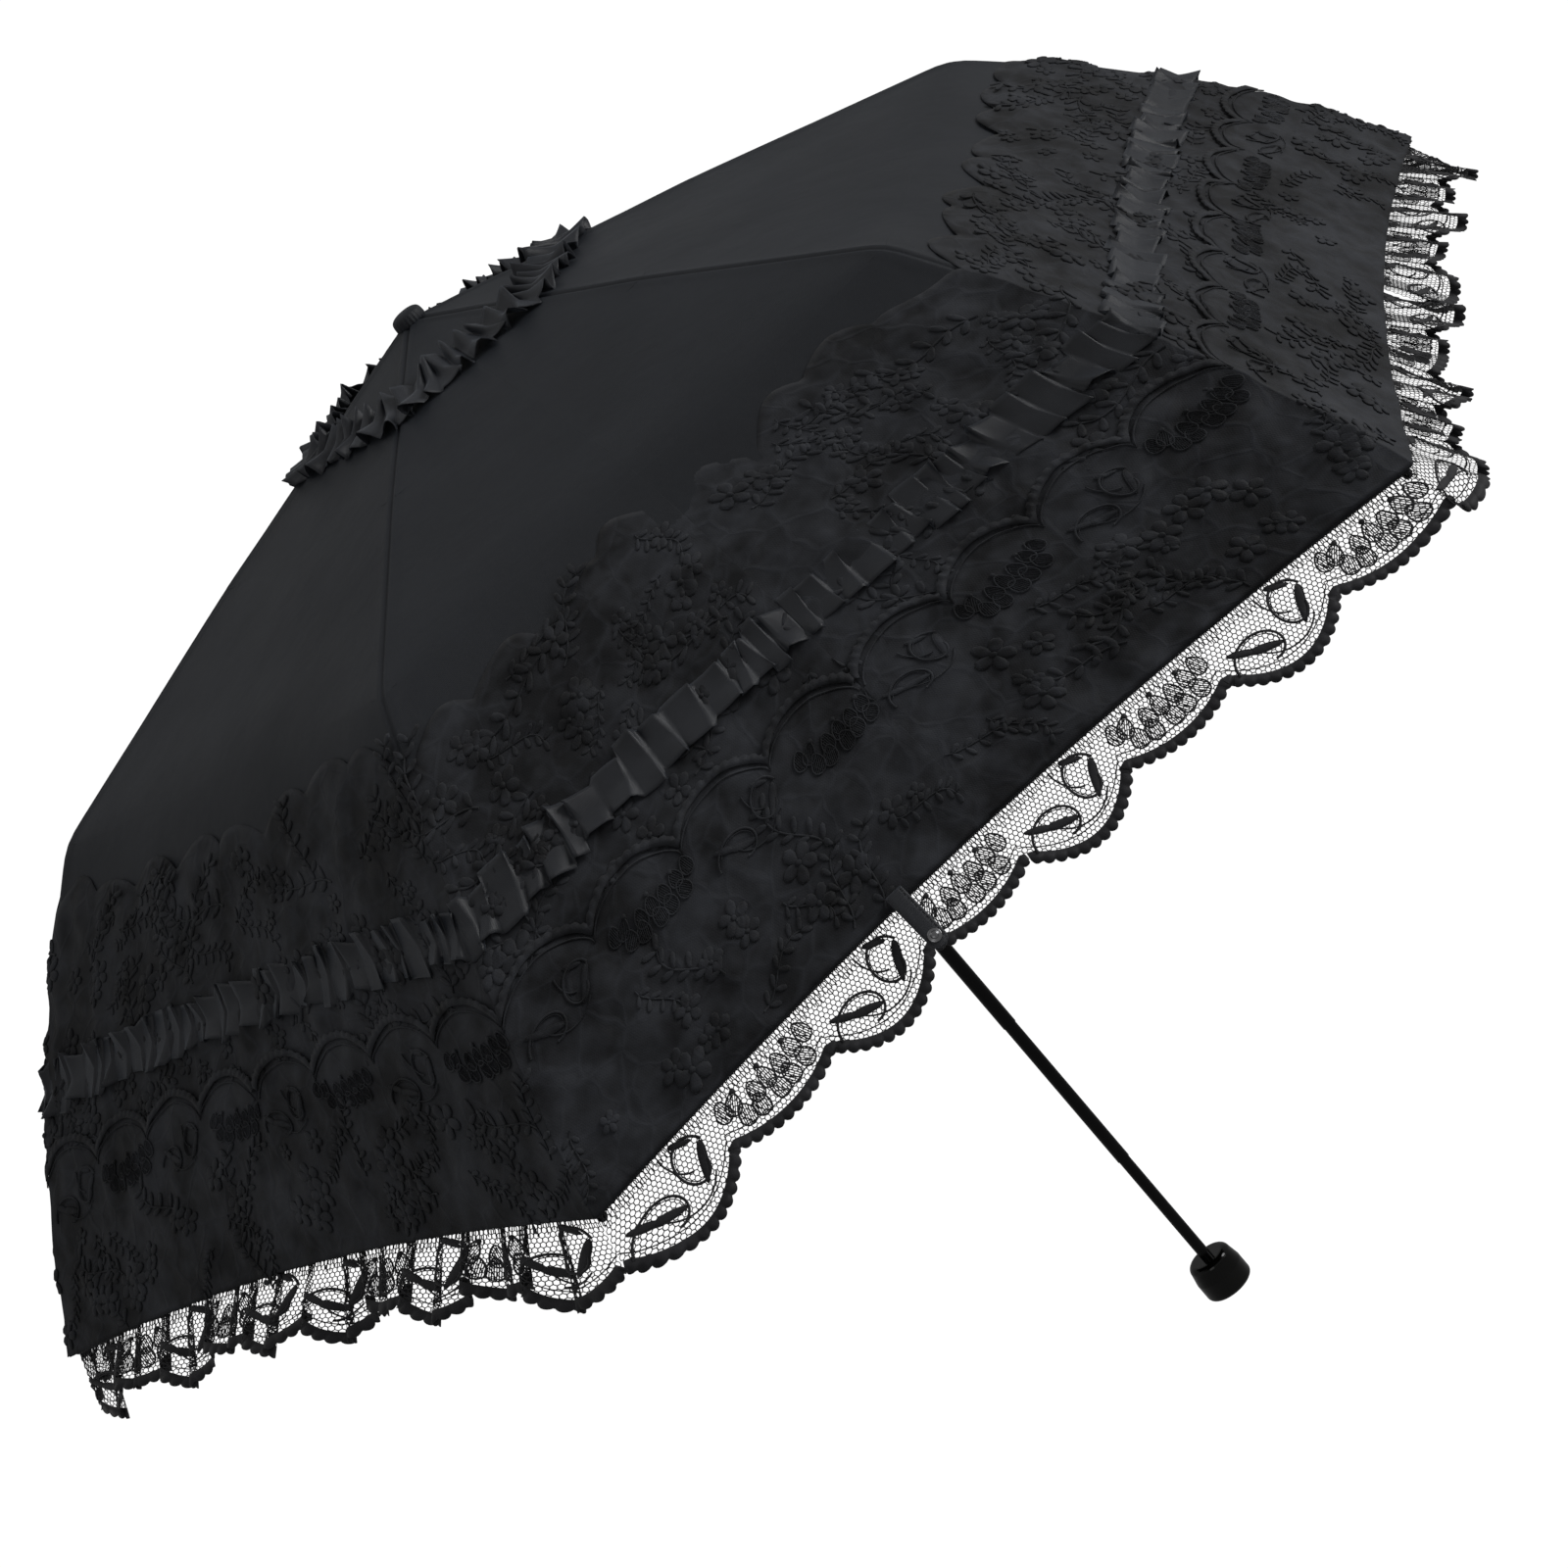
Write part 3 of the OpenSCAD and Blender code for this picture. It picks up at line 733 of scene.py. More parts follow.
def row_tree():
    tree = bpy.data.node_groups.new("set_along_row", "GeometryNodeTree")
    sockets = {"Points": "Geometry", "Shape": "Object", "Scale Low": "Float", "Scale High": "Float",
               "Turn": "Float", "Seed": "Int", "Finish": "Material"}
    for label, kind in sockets.items():
        tree.interface.new_socket(name=label, in_out="INPUT", socket_type="NodeSocket" + kind)
    tree.interface.new_socket(name="Row", in_out="OUTPUT", socket_type="NodeSocketGeometry")
    given, out = tree.nodes.new("NodeGroupInput"), tree.nodes.new("NodeGroupOutput")
    shape = tree.nodes.new("GeometryNodeObjectInfo")
    place = tree.nodes.new("GeometryNodeInstanceOnPoints")
    real = tree.nodes.new("GeometryNodeRealizeInstances")
    finish = tree.nodes.new("GeometryNodeSetMaterial")
    lean = tree.nodes.new("ShaderNodeCombineXYZ")
    back = math_node(tree, "MULTIPLY", given.outputs["Turn"], -1.0)
    link = tree.links.new

    def random_between(low, high):
        node = tree.nodes.new("FunctionNodeRandomValue")
        node.data_type = "FLOAT"
        smallest = next(s for s in node.inputs if s.name == "Min" and s.enabled)
        largest = next(s for s in node.inputs if s.name == "Max" and s.enabled)
        link(low, smallest)
        link(high, largest)
        link(given.outputs["Seed"], node.inputs["Seed"])
        return next(s for s in node.outputs if s.enabled)

    link(given.outputs["Shape"], shape.inputs["Object"])
    link(given.outputs["Points"], place.inputs["Points"])
    link(shape.outputs["Geometry"], place.inputs["Instance"])
    link(random_between(back, given.outputs["Turn"]), lean.inputs["Z"])
    link(lean.outputs[0], place.inputs["Rotation"])
    link(random_between(given.outputs["Scale Low"], given.outputs["Scale High"]), place.inputs["Scale"])
    link(place.outputs[0], real.inputs[0])
    link(real.outputs[0], finish.inputs["Geometry"])
    link(given.outputs["Finish"], finish.inputs["Material"])
    link(finish.outputs[0], out.inputs["Row"])
    return tree


ROW = row_tree()
print("row tree inputs:", [item.name for item in ROW.interface.items_tree if item.in_out == "INPUT"])


def set_along(points, motif, finish, low=1.0, high=1.0, turn=0.0, seed=1):
    """The motif on every point, as flat vertices and faces."""
    row, shape = mesh_object("row", points, []), mesh_object("motif", *motif)
    modifier = row.modifiers.new("Row", "NODES")
    modifier.node_group = ROW
    values = {"Shape": shape, "Scale Low": low, "Scale High": high,
              "Turn": turn, "Seed": seed, "Finish": finish}
    for item in ROW.interface.items_tree:
        if item.in_out == "INPUT" and item.name in values:
            modifier[item.identifier] = values[item.name]
    applied(row)
    co = np.zeros(len(row.data.vertices) * 3)
    row.data.vertices.foreach_get("co", co)
    result = co.reshape(-1, 3), [list(p.vertices) for p in row.data.polygons]
    for obj in (row, shape):
        bpy.data.objects.remove(obj)
    return result


# %% [markdown]
# ## One half strip of frill, flat
# A panel's edge is half one sector's and half the next one's, so the frill is made in half strips. The
# strip over the front panel has four scallops laid nearly flat. The others have five in the same length,
# so they are gathered.

# %% Flat strips
HALF_ROW = 4 * SCALLOP


def depth_at(x):
    """How far the scalloped edge hangs below the rim, at x along the flat strip."""
    x = np.asarray(x, float)
    which = np.floor(x / SCALLOP).astype(int) % 2
    bulge = (np.sin(math.pi * x / SCALLOP) ** 2 + 0.01) ** 0.33
    return CUSP_DEPTH + (np.where(which == 0, OPEN_DEPTH, DENSE_DEPTH) - CUSP_DEPTH) * bulge


def net_segments(inside, x0, x1, y0, y1, cell):
    """Sides of a six-sided net, kept where inside(x, y) is true at both ends."""
    rise, side = cell * math.sqrt(3) / 2, cell / math.sqrt(3)
    col, row = np.meshgrid(np.arange(int((x1 - x0) / cell) + 2), np.arange(int((y1 - y0) / rise) + 2))
    centre = np.stack([x0 + (col + 0.5 * (row % 2)) * cell, y0 + row * rise], -1).reshape(-1, 2)
    angles = [math.radians(a) for a in (30, 90, 150, 210)]
    spokes = [np.array([math.cos(a), math.sin(a)]) * side for a in angles]
    segments = np.concatenate([np.stack([centre + p, centre + q], 1) for p, q in zip(spokes, spokes[1:])])
    return segments[inside(segments[..., 0], segments[..., 1]).all(1)]


def lobed_band(path, inner, outer, lobe, pitch, thickness):
    """A close-stitched band along a path, with small lobes on its right-hand side."""
    length = np.concatenate([[0], np.cumsum(np.linalg.norm(np.diff(path, axis=0), axis=1))])
    t = np.gradient(path, axis=0)
    t /= np.linalg.norm(t, axis=1, keepdims=True)
    right = np.stack([t[:, 1], -t[:, 0]], 1)
    reach = outer + lobe * np.abs(np.sin(math.pi * length / pitch)) ** 0.6
    far, near = path + right * reach[:, None], path - right * inner
    z = np.full(len(path), thickness)
    ring = [np.column_stack([side, level]) for side, level in ((near, -z), (near, z), (far, z), (far, -z))]
    return np.stack(ring, 1).reshape(-1, 3), grid_faces(len(path), 4, wrap=True)[:, ::-1].tolist()


def flat_strip(count, seed):
    end = count * SCALLOP
    xs = np.linspace(0, end, count * 90 + 1)
    edge = np.column_stack([xs, -depth_at(xs)])

    def inside(x, y):
        return (x >= -0.0002) & (x <= end + 0.0002) & (y < 0.0003) & (y > -depth_at(x) + 0.001)

    parts = [threads_mesh(net_segments(inside, 0, end, -OPEN_DEPTH, 0, NET_CELL), NET_THREAD)]
    parts.append(lobed_band(edge, 0.0032, 0.0002, 0.0018, 0.0050, 0.00025))
    vein = np.column_stack([xs, 0.0066 - depth_at(xs)])
    parts.append(cord_mesh(vein, CORD * 0.45, sides=4))
    heading = np.column_stack([xs[::6], np.full(len(xs[::6]), -0.0008)])
    parts.append(lobed_band(heading, 0.0016, 0.0008, 0.0, 1.0, 0.0004))
    rng = np.random.default_rng(seed)
    tucks = np.arange(0.0008, end, 0.0017)
    foot = -0.0045 - rng.uniform(0, 0.0035, len(tucks))
    lean = rng.uniform(-0.0006, 0.0006, len(tucks))
    parts.append(threads_mesh(np.stack([np.column_stack([tucks, np.full(len(tucks), -0.001)]),
                                        np.column_stack([tucks + lean, foot])], 1), 0.00022))
    middle = (np.arange(count) + 0.5) * SCALLOP
    for motif, chosen in ((open_motif(), middle[::2]), (dense_motif(), middle[1::2])):
        points = np.column_stack([chosen, np.zeros(len(chosen)), np.full(len(chosen), 0.0003)])
        parts.append(set_along(points, motif, THREAD))
    return merged(parts)


LAID_STRIP, GATHERED_STRIP = flat_strip(4, 1), flat_strip(5, 2)
print("faces in a laid and a gathered half strip:", len(LAID_STRIP[1]), len(GATHERED_STRIP[1]))

# %% [markdown]
# ## Gathering and hanging the frill
# Where the frill is gathered, a tuck sits near every low point between scallops: the lace turns back on
# itself and forward again. The tuck is worked out from the lace's own direction, so the cloth keeps its
# length. The strip then hangs from the rim, and flares where nothing holds it down.

# %% Hanging
TUCK = 0.0150
TURN = 2.55


def tucked(count):
    """Along-rim place, height and direction of the gathered strip at each x."""
    xs = np.arange(0, count * SCALLOP + STEP, STEP)
    rng = np.random.default_rng(9)
    heading = np.zeros(len(xs))
    for centre in np.arange(0.5, count) * SCALLOP:
        for at, share in ((centre - SCALLOP / 2, 0.5), (centre + rng.uniform(-0.006, 0.006), 0.42)):
            t = (xs - at) / (TUCK * (0.6 + share)) + 0.5
            heading += np.where((t > 0) & (t < 1), TURN * share * 1.6 * np.sin(math.pi * np.clip(t, 0, 1)), 0)
    along, height = np.cumsum(np.cos(heading)) * STEP, np.cumsum(np.sin(heading)) * STEP
    height -= np.interp(xs, [xs[0], xs[-1]], [height[0], height[-1]])
    slow = np.convolve(np.pad(height, 60, mode="edge"), np.ones(121) / 121, mode="valid")
    return xs, along / along[-1] * HALF_ROW, (height - slow), heading


TUCKS = tucked(5)
FRONT_HALVES = {(5, 1), (6, -1)}


def hang(strip, k, side):
    """Wraps one flat half strip under half a sector's rim."""
    x, y, z = strip[0].T
    drop = -y
    if (k, side) in FRONT_HALVES:
        along, lift = x, z
    else:
        at, place, height, heading = TUCKS
        turn = np.interp(x, at, heading)
        open_out = 0.45 + 0.75 * np.clip(drop / OPEN_DEPTH, 0, 1)
        along = np.interp(x, at, place) - z * np.sin(turn)
        lift = np.interp(x, at, height) * open_out + z * np.cos(turn)
    u = np.clip((along - (HALF_ROW if side < 0 else 0)) / HALF_ROW, -1, 1)
    rim = on_canopy(S_TIP - 0.0015, u, CLOTH_OFF - 0.0015, k)
    panel_az = (k - 1) * 2 * HALF + side * HALF
    spoke_az = (k - 1) * 2 * HALF
    corner = np.exp(-(u / 0.06) ** 2)
    free = 1 - np.exp(-(u / 0.11) ** 2)
    out = np.stack([np.cos(panel_az) * (1 - corner) + np.cos(spoke_az) * corner,
                    np.sin(panel_az) * (1 - corner) + np.sin(spoke_az) * corner], 1)
    out /= np.linalg.norm(out, axis=1, keepdims=True)
    calm = math.radians(62) + 0.07 * ripple(rim, 0.10, 11)
    if (k, side) in FRONT_HALVES:
        slope, sway = calm, 0.0014 * ripple(rim, 0.055, 6)
    else:
        slope, sway = calm - (0.22 - 0.26 * ripple(rim, 0.09, 12)) * free, 0.0030 * ripple(rim, 0.04, 7)
        lift = z + (lift - z) * free
    lift = lift + sway * free * np.clip(drop / OPEN_DEPTH, 0, 1)
    down = np.column_stack([out * np.cos(slope)[:, None], -np.sin(slope)])
    away = np.column_stack([out * np.sin(slope)[:, None], np.cos(slope)])
    return rim + down * drop[:, None] + away * lift[:, None]


frill = {}
for k in range(1, RIBS + 1):
    strips = [LAID_STRIP if (k, side) in FRONT_HALVES else GATHERED_STRIP for side in (-1, 1)]
    verts, faces = merged([(hang(strip, k, side), strip[1]) for strip, side in zip(strips, (-1, 1))])
    flat = np.vstack([strip[0][:, :2] for strip in strips])
    frill[k] = mesh_object(f"frill_{k}", verts, faces, flat)
    frill[k].data.materials.append(THREAD)
    attach(frill[k], "outer", k)
print("frill hung, faces", sum(len(o.data.polygons) for o in frill.values()))

# %% [markdown]
# ## The crumpled lace on the canopy
# A wide strip of lace is sewn over the lower third of the canopy, loosely, so it lies in small crumples and
# its upper edge wanders. The satin under it is the same black, so what shows is relief: crumples, flowers
# and sprigs. A second, narrower strip with scalloped top lies over it near the rim.

# %% Crumples and wrapping
R_TIP = float(tip[0])
ANY_WAY = 3.1
LACE_T = 0.0003
LACE_LIFT, LACE_CRUMPLE = 0.0012, 0.0013
BAND_LIFT, BAND_CRUMPLE = 0.0026, 0.0011
BAND_SCALLOPS = 8


def crumple(places, amount):
    """Soft uneven crumples of three sizes, in metres above the cloth's lowest."""
    soft = 0.5 * ripple(places, 0.055, 21) + 0.45 * ripple(places, 0.024, 22)
    soft = soft + 0.22 * ripple(places, 0.011, 23)
    folds = 0.35 * (1 - 2 * np.abs(ripple(places, 0.040, 24)))
    return amount * (0.9 + 1.0 * np.clip(soft + folds, -0.9, 1.9))


def laid(flat, k, s0, lift, amount):
    """Wraps flat vertices (x across, y up from rib distance s0, z out) onto the crumpled lace."""
    x, y, z = flat.T
    s = s0 - y
    width = np.interp(s, rib_s, rib_p[:, 0])
    u = np.clip(2 * x / width, -1, 1)
    base = on_canopy(s, u, CLOTH_OFF, k)
    return on_canopy(s, u, CLOTH_OFF + lift + crumple(base, amount) + z, k)


def lace_sheet(name, k, top_edge, s1, spacing, lift, amount):
    """Lace from a wandering top edge down to s1, as a thin closed sheet."""
    half = columns(radius_at(s1), spacing)
    us = np.concatenate([-half[::-1], half[1:]])
    share = np.linspace(0, 1, int((s1 - S_LACE) / spacing))[:, None]
    top = top_edge(us, k)
    s = top + (s1 - top) * share
    u = np.broadcast_to(us, s.shape)
    base = on_canopy(s, u, CLOTH_OFF, k)
    hem = np.clip(share * 14, 0, 1)
    over = lift * (0.5 + 0.5 * hem) + crumple(base, amount) * (0.3 + 0.7 * hem)
    verts = on_canopy(s, u, CLOTH_OFF + over, k)
    x = u * np.interp(s, rib_s, rib_p[:, 0]) / 2
    obj = mesh_object(name, verts, grid_faces(*s.shape), np.stack([x, s], -1).reshape(-1, 2))
    obj.data.materials.append(LACE)
    area = mesh_area(obj)
    thicken(obj, LACE_T)
    flat = (radius_at(s1) * 1.03, (s1 - float(top.min())) * 1.03)
    return obj, dict(flat=flat, area=min(area, flat[0] * flat[1]), held="laid")


def place_of(u, k):
    """Distance along the whole rim at share u of sector k, as a share of one scallop."""
    return ((k - 1) * 2 + u + 1) * HALF_ROW / SCALLOP


S_LACE, S_BAND = s_where(0.685 * R_TIP), s_where(0.885 * R_TIP)


def lace_top(u, k):
    t = place_of(u, k)
    rim = on_canopy(np.full(len(u), S_LACE), u, 0.0, k)
    return S_LACE - 0.010 * np.abs(np.sin(math.pi * t)) ** 0.7 + 0.007 * ripple(rim, 0.07, 31) + 0.008


def band_top(u, k):
    return S_BAND - 0.013 * np.abs(np.sin(math.pi * place_of(u, k))) ** 0.6


# %% The two strips of lace
lace, lace_cut = {}, {}
for k in range(1, RIBS + 1):
    obj, cut_size = lace_sheet(f"lace_{k}", k, lace_top, S_TIP + 0.0005, 0.0036, LACE_LIFT, LACE_CRUMPLE)
    rng = np.random.default_rng(100 + k)
    parts = []
    for motif, count, seed in ((flower_motif(), 70, k), (sprig_motif(), 44, k + 10)):
        s = rng.uniform(S_LACE + 0.012, S_BAND + 0.006, count)
        x = rng.uniform(-0.93, 0.93, count) * np.interp(s, rib_s, rib_p[:, 0]) / 2
        points = np.column_stack([x, S_LACE - s, np.zeros(count)])
        parts.append(set_along(points, motif, LACE, 0.6, 1.25, ANY_WAY, seed))
    verts, faces = merged(parts)
    places = laid(verts, k, S_LACE, LACE_LIFT + 0.0002, LACE_CRUMPLE)
    motifs = mesh_object(f"lace_motifs_{k}", places, faces, verts[:, :2])
    motifs.data.materials.append(LACE)

    band, band_cut = lace_sheet(f"lace_band_{k}", k, band_top, S_TIP + 0.0003, 0.0040,
                                BAND_LIFT, BAND_CRUMPLE)
    us = np.linspace(-1, 1, BAND_SCALLOPS * 50 + 1)
    edge_s = band_top(us, k) + 0.001
    path = np.column_stack([us * np.interp(edge_s, rib_s, rib_p[:, 0]) / 2, S_BAND - edge_s])
    parts = [lobed_band(path[::-1], 0.0020, 0.0004, 0.0014, 0.0045, 0.0003),
             cord_mesh(path - [0, 0.005], CORD * 0.7, sides=4)]
    centres = (np.arange(BAND_SCALLOPS) - (BAND_SCALLOPS - 1) / 2) * SCALLOP * 0.93
    points = np.column_stack([centres, np.full(BAND_SCALLOPS, -0.002), np.full(BAND_SCALLOPS, 0.0002)])
    s = rng.uniform(S_BAND + 0.032, S_TIP - 0.008, 60)
    x = rng.uniform(-0.95, 0.95, 60) * np.interp(s, rib_s, rib_p[:, 0]) / 2
    loose = np.column_stack([x, S_BAND - s, np.zeros(60)])
    parts += [set_along(loose[:36], flower_motif(), LACE, 0.6, 1.2, ANY_WAY, k + 20),
              set_along(loose[36:], sprig_motif(), LACE, 0.6, 1.1, ANY_WAY, k + 30)]
    parts += [set_along(points[::2], open_motif(), LACE, 0.8, 0.9, 0.1, k),
              set_along(points[1::2], dense_motif(), LACE, 0.85, 0.95, 0.1, k)]
    verts, faces = merged(parts)
    places = laid(verts, k, S_BAND, BAND_LIFT + 0.0004, BAND_CRUMPLE)
    edging = mesh_object(f"lace_edging_{k}", places, faces, verts[:, :2])
    edging.data.materials.append(LACE)
    for piece in (obj, motifs, band, edging):
        attach(piece, "outer", k)
    lace[k] = (obj, motifs, band, edging)
    lace_cut[k] = (cut_size, band_cut)
print("lace laid, faces in one sixth:", sum(len(o.data.polygons) for o in lace[1]))

# %% [markdown]
# ## Ruched ribbon
# The ribbon is a satin strip folded into knife pleats and stitched down its middle, so both edges stand up
# and each pleat catches the light by itself. Every pleat has its own lean and height. One function makes
# the long row on the lace and the ring of ruffles near the crown.

# %% Pleats
RIBBON_T = 0.0003
ACROSS_PLEAT = np.array([0.0, 0.07, 0.14, 0.28, 0.42, 0.56, 0.70, 0.80, 0.86, 0.92])


def ruched(name, k, part, s_mid, half, pleats, flat_height, edge_height, wild, lift, soft=0.0, rows=13):
    """A pleated strip across sector k, centred at rib distance s_mid."""
    rng = np.random.default_rng(40 + int(s_mid * 1000) + k)
    widths = rng.uniform(0.55, 1.45, pleats)
    starts = np.concatenate([[0], np.cumsum(widths)]) / widths.sum() * pleats
    lean, grow, jut, tip_up = (rng.uniform(-1, 1, pleats) for _ in range(4))
    index = np.repeat(np.arange(pleats), len(ACROSS_PLEAT))
    q = np.tile(ACROSS_PLEAT, pleats)
    at = np.append(starts[index] + q * (starts[index + 1] - starts[index]), pleats)
    index, q = np.append(index, pleats - 1), np.append(q, 1.0)
    t = np.linspace(-1, 1, rows)[:, None]
    edge = np.abs(t) ** 1.2
    rising, falling = np.interp(q, [0, 0.86, 1], [0, 1, 0]), np.interp(q, [0, 0.14, 1], [0, 1, 0])
    fade = np.where(tip_up[index] > -0.6, rising, falling) * (1 - soft) + np.sin(math.pi * q) ** 2 * soft
    height = (flat_height + edge_height * edge * (1 + 0.6 * grow[index] * np.sign(t + 0.01))) * fade
    height += wild * edge * np.sin(2.2 * index + 5 * q) * np.sin(math.pi * np.clip(at / pleats, 0, 1)) ** 0.2
    reach = half * (1 + 0.20 * jut[index] + 0.22 * (q - 0.5) * np.sign(t))
    s = s_mid + t * reach
    inside = np.clip(np.minimum(at, pleats - at), 0, 1)
    slide = lean[index] * 0.5 * half * t * np.sin(math.pi * np.clip(q, 0, 1)) * inside
    u = 2 * at / pleats - 1 + 2 * slide / radius_at(s_mid)
    u = np.clip(np.broadcast_to(u, s.shape), -1, 1)
    verts = on_canopy(s, u, CLOTH_OFF + lift + height, k)
    flat_places = np.stack([u * radius_at(s_mid) / 2, s], -1).reshape(-1, 2)
    obj = mesh_object(name, verts, grid_faces(*s.shape), flat_places)
    obj.data.materials.append(RIBBON)
    thicken(obj, RIBBON_T)
    attach(obj, part, k)
    return obj


S_RIBBON = s_where(0.828 * R_TIP)
S_RING = s_where(0.079)
ribbon = [ruched(f"ribbon_{k}", k, "outer", S_RIBBON, 0.0120, 32, 0.0009, 0.0034, 0.0006, 0.0026)
          for k in range(1, RIBS + 1)]
ruffle = [ruched(f"crown_ruffle_{k}", k, "top", S_RING, 0.0135, 9, 0.0030, 0.0040, 0.0014, 0.0010, 0.75)
          for k in range(1, RIBS + 1)]
for k in range(1, RIBS + 1):
    obj, motifs, band, edging = lace[k]
print("ribbon pieces", len(ribbon), "crown ruffle pieces", len(ruffle))

# %% [markdown]
# ## The covered crown button
# The cloth's centre is hidden by a round cap covered in the same cloth, gathered under its edge. It is
# turned like a knob from a short profile, with a wave at its foot for the gathers.

# %% Button
button_low, button_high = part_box("crown_button")
BUTTON_R = (button_high.x - button_low.x) / 2
cloth_z = float(on_canopy(s_where(BUTTON_R), 0.5, CLOTH_OFF - CLOTH_T)[2])
profile_r = np.array([0.80, 0.96, 1.0, 1.0, 0.97, 0.86, 0.62, 0.33, 0.08])
profile_z = np.array([0.0, 0.04, 0.16, 0.42, 0.66, 0.82, 0.94, 0.985, 1.0])
around = np.linspace(0, 2 * math.pi, 96, endpoint=False)
gather = 1 + 0.035 * np.cos(24 * around)[None, :] * np.clip(1 - profile_z, 0, 1)[:, None]
ring_r = profile_r[:, None] * gather * BUTTON_R / 1.035
ring_z = cloth_z + profile_z[:, None] * (button_high.z - cloth_z) + 0 * ring_r
verts = np.stack([ring_r * np.cos(around), ring_r * np.sin(around), ring_z], -1).reshape(-1, 3)
verts = np.vstack([verts, [[0, 0, cloth_z], [0, 0, button_high.z]]])
count, rings = len(around), len(profile_r)
faces = grid_faces(rings, count, wrap=True)[:, ::-1].tolist()
faces += [[rings * count, (j + 1) % count, j] for j in range(count)]
last = (rings - 1) * count
faces += [[last + j, last + (j + 1) % count, rings * count + 1] for j in range(count)]
button = mesh_object("crown_cap", verts, faces, verts[:, :2])
button.data.materials.append(SATIN)
add_modifier(button, "SUBSURF", levels=1, render_levels=1)
applied(button)
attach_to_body(button, "mast")
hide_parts("crown_button")
print(f"button radius {BUTTON_R:.4f}, from {cloth_z:.4f} to {button_high.z:.4f}, CAD from {button_low.z:.4f}")

# %% [markdown]
# ## The closing strap and its stud
# The strap is a doubled strip of satin with a stitched edge, made as a flat grid that hangs over the frill.
# Its stud snaps shut round the folded parasol: a pressed metal cap with a flat rim, a rounded shoulder and
# a domed boss. Strap, stitches and stud ride together on the fifth outer rib.

# %% Strap
strap_low, strap_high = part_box("tie_strap")
STRAP_HALF, STRAP_T, STITCH_IN = (strap_high.x - strap_low.x) / 2, 0.0009, 0.0010
fall = np.array([0, strap_low.y - strap_high.y, strap_low.z - strap_high.z])
STRAP_LEN = float(np.linalg.norm(fall)) - 0.0008
fall /= np.linalg.norm(fall)
face_out = np.array([0, fall[2], -fall[1]])
strap_top = np.array([(strap_low.x + strap_high.x) / 2, strap_high.y, strap_high.z])


def strap_place(x, y, z):
    """x across, y down the strap, z off its back; it curls a little towards its end."""
    bend = 0.0006 * np.sin(math.pi * y / STRAP_LEN)
    across = np.stack([x, 0 * x, 0 * x], -1)
    return strap_top + across + y[..., None] * fall + (z + bend)[..., None] * face_out


ys = np.linspace(0, STRAP_LEN, 41)
xs = np.linspace(-1, 1, 15)
y, x = np.meshgrid(ys, xs, indexing="ij")
end = np.clip((y - (STRAP_LEN - STRAP_HALF)) / STRAP_HALF, 0, 1)
width = STRAP_HALF * np.sqrt(np.clip(1 - 0.9 * end ** 2, 0.05, 1))
pillow = 0.00035 * (1 - np.abs(x) ** 3) + 0.0001 * np.sin(y * 900)
groove = 0.00025 * np.exp(-((np.abs(x) * width - width + STITCH_IN) / 0.0003) ** 2)
strap = mesh_object("closing_strap", strap_place(x * width, y, 0.0009 + pillow - groove), grid_faces(41, 15),
                    np.stack([x * STRAP_HALF, y], -1).reshape(-1, 2))
strap.data.materials.append(RIBBON)
thicken(strap, STRAP_T)


def stitches():
    """Short raised stitches along both edges of the strap."""
    parts = []
    for side in (-1, 1):
        for start in np.arange(0.001, STRAP_LEN - STRAP_HALF, 0.0022):
            across = np.full(4, side * (STRAP_HALF - STITCH_IN))
            line = np.column_stack([across, -np.linspace(start, start + 0.0015, 4)])
            parts.append(cord_mesh(line, 0.00014, sides=4))
    return merged(parts)


verts, faces = stitches()
seam = mesh_object("strap_stitches", strap_place(verts[:, 0], -verts[:, 1], 0.0012 + verts[:, 2]), faces)
seam.data.materials.append(THREAD)

# %% Stud
stud_low, stud_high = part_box("press_stud")
STUD_R = (stud_high.x - stud_low.x) / 2
stud_centre = np.array((stud_low + stud_high) / 2)
STUD_PROFILE = np.array([[0.98, 0.0], [1.0, 0.08], [0.98, 0.16], [0.92, 0.20], [0.66, 0.20], [0.58, 0.24],
                         [0.53, 0.34], [0.50, 0.43], [0.40, 0.49], [0.22, 0.52], [0.04, 0.53]]) * STUD_R
turn = np.linspace(0, 2 * math.pi, 48, endpoint=False)
ring = STUD_PROFILE[:, None, :]
stud_down = np.array([float((stud_centre - strap_top) @ fall)])
stud_foot = strap_place(0 * stud_down, stud_down, 0.0011)[0]
verts = (stud_foot + (ring[..., 0] * np.cos(turn))[..., None] * np.array([1, 0, 0])
         + (ring[..., 0] * np.sin(turn))[..., None] * fall + (ring[..., 1] + 0 * turn)[..., None] * face_out)
rings, count = verts.shape[:2]
faces = grid_faces(rings, count, wrap=True).tolist()
faces += [list(range(count)), list(range((rings - 1) * count, rings * count))[::-1]]
stud = mesh_object("strap_stud", verts.reshape(-1, 3), faces)
stud.data.materials.append(NICKEL)

for piece, slot_name in ((strap, "satin"), (seam, "satin"), (stud, "stud")):
    attach(piece, "outer", 5)
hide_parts("tie_strap")
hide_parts("press_stud")
print("strap", round(2 * STRAP_HALF, 4), "by", round(STRAP_LEN, 4), "stud radius", round(STUD_R, 4))

# %% [markdown]
# ## Floor, light and camera
# A black object on white needs light that draws its edges: a large soft light from one side for the
# panels' sheen, a weaker one from above, and a bright plain floor and sky.

# %% Floor and sky
FLOOR_Z, REACH, BACK, RISE = -1.6, 30.0, 14.0, 16.0
CAMERA_GLOW, OTHER_GLOW = 0.75, 0.22
SKY = 0.37


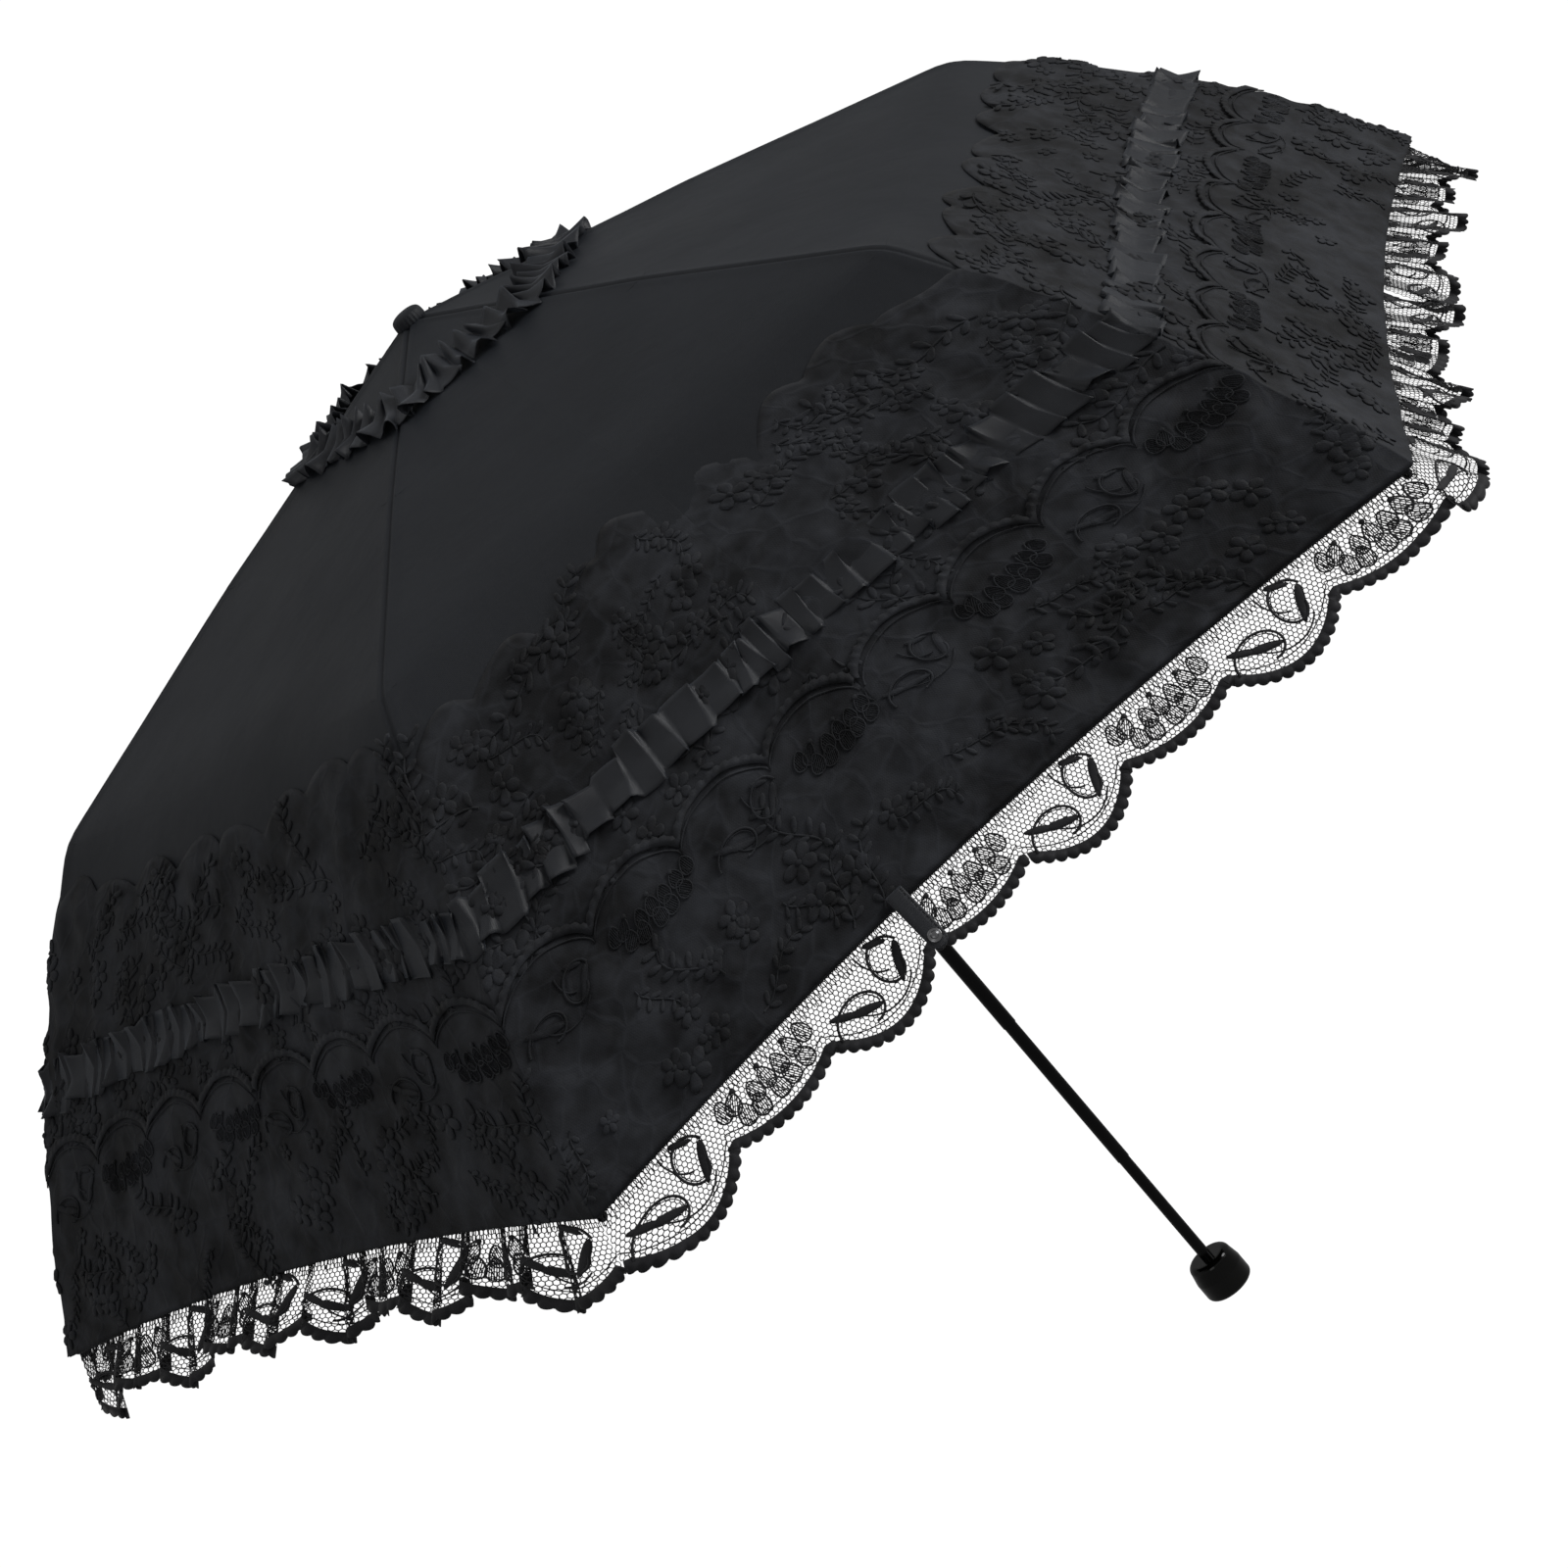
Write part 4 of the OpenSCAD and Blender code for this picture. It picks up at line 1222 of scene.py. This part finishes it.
def stage_finish():
    material = bpy.data.materials.new("pale_floor")
    material.use_nodes = True
    shader = material.node_tree.nodes["Principled BSDF"]
    shader.inputs["Base Color"].default_value = (0.2, 0.2, 0.2, 1)
    shader.inputs["Roughness"].default_value = 0.95
    shader.inputs["Specular IOR Level"].default_value = 0.0
    shader.inputs["Emission Color"].default_value = (1, 1, 1, 1)
    seen = material.node_tree.nodes.new("ShaderNodeLightPath").outputs["Is Camera Ray"]
    extra = math_node(material.node_tree, "MULTIPLY", seen, CAMERA_GLOW)
    glow = math_node(material.node_tree, "ADD", extra, OTHER_GLOW)
    material.node_tree.links.new(glow, shader.inputs["Emission Strength"])
    return material


def sweep():
    """A floor that turns up into a backdrop behind the object, like a roll of studio paper."""
    bend = np.linspace(0, math.pi / 2, 12)
    radius = 4.0
    line = [(-REACH, FLOOR_Z)]
    line += [(BACK - radius + radius * math.sin(a), FLOOR_Z + radius * (1 - math.cos(a))) for a in bend]
    line.append((BACK, RISE))
    verts = [(x, y, z) for y, z in line for x in (REACH, -REACH)]
    return verts, grid_faces(len(line), 2)


floor = mesh_object("floor", *sweep())
floor.data.materials.append(stage_finish())

world = bpy.data.worlds.new("soft_white")
world.use_nodes = True
world.node_tree.nodes["Background"].inputs["Color"].default_value = (1, 1, 1, 1)
world.node_tree.nodes["Background"].inputs["Strength"].default_value = SKY
bpy.context.scene.world = world
bpy.context.scene.view_settings.view_transform = "Standard"

# %% Lights and camera


def soft_light(name, place, target, width, power):
    data = bpy.data.lights.new(name, "AREA")
    data.shape = "DISK"
    data.size = width
    data.energy = power
    light = bpy.data.objects.new(name, data)
    light.location = place
    light.rotation_euler = (Vector(target) - Vector(place)).to_track_quat("-Z", "Y").to_euler()
    bpy.context.scene.collection.objects.link(light)


MIDDLE = (0, 0, 0.5)
soft_light("side_light", (2.7, -1.1, 1.5), MIDDLE, 1.6, 78)
soft_light("top_light", (-0.8, 0.2, 2.6), MIDDLE, 1.4, 6)
soft_light("low_light", (-1.2, -2.4, 1.2), MIDDLE, 1.2, 5)

# The camera's right and up directions and its place, in the parasol's own frame.
RIGHT = Vector((0.7338, -0.2637, -0.6262))
UP = Vector((0.6690, 0.1195, 0.7336))
EYE = Vector((-0.2376, -1.8557, 0.8676))
camera_data = bpy.data.cameras.new("camera")
camera_data.lens = 91.4
camera_data.sensor_width = 36
camera = bpy.data.objects.new("camera", camera_data)
back = RIGHT.cross(UP).normalized()
turn = Matrix((RIGHT.normalized(), UP.normalized(), back)).transposed().to_4x4()
camera.matrix_world = Matrix.Translation(EYE) @ turn
bpy.context.scene.collection.objects.link(camera)
bpy.context.scene.camera = camera
print("camera stands", round(EYE.length, 3), "m from the knob's foot")
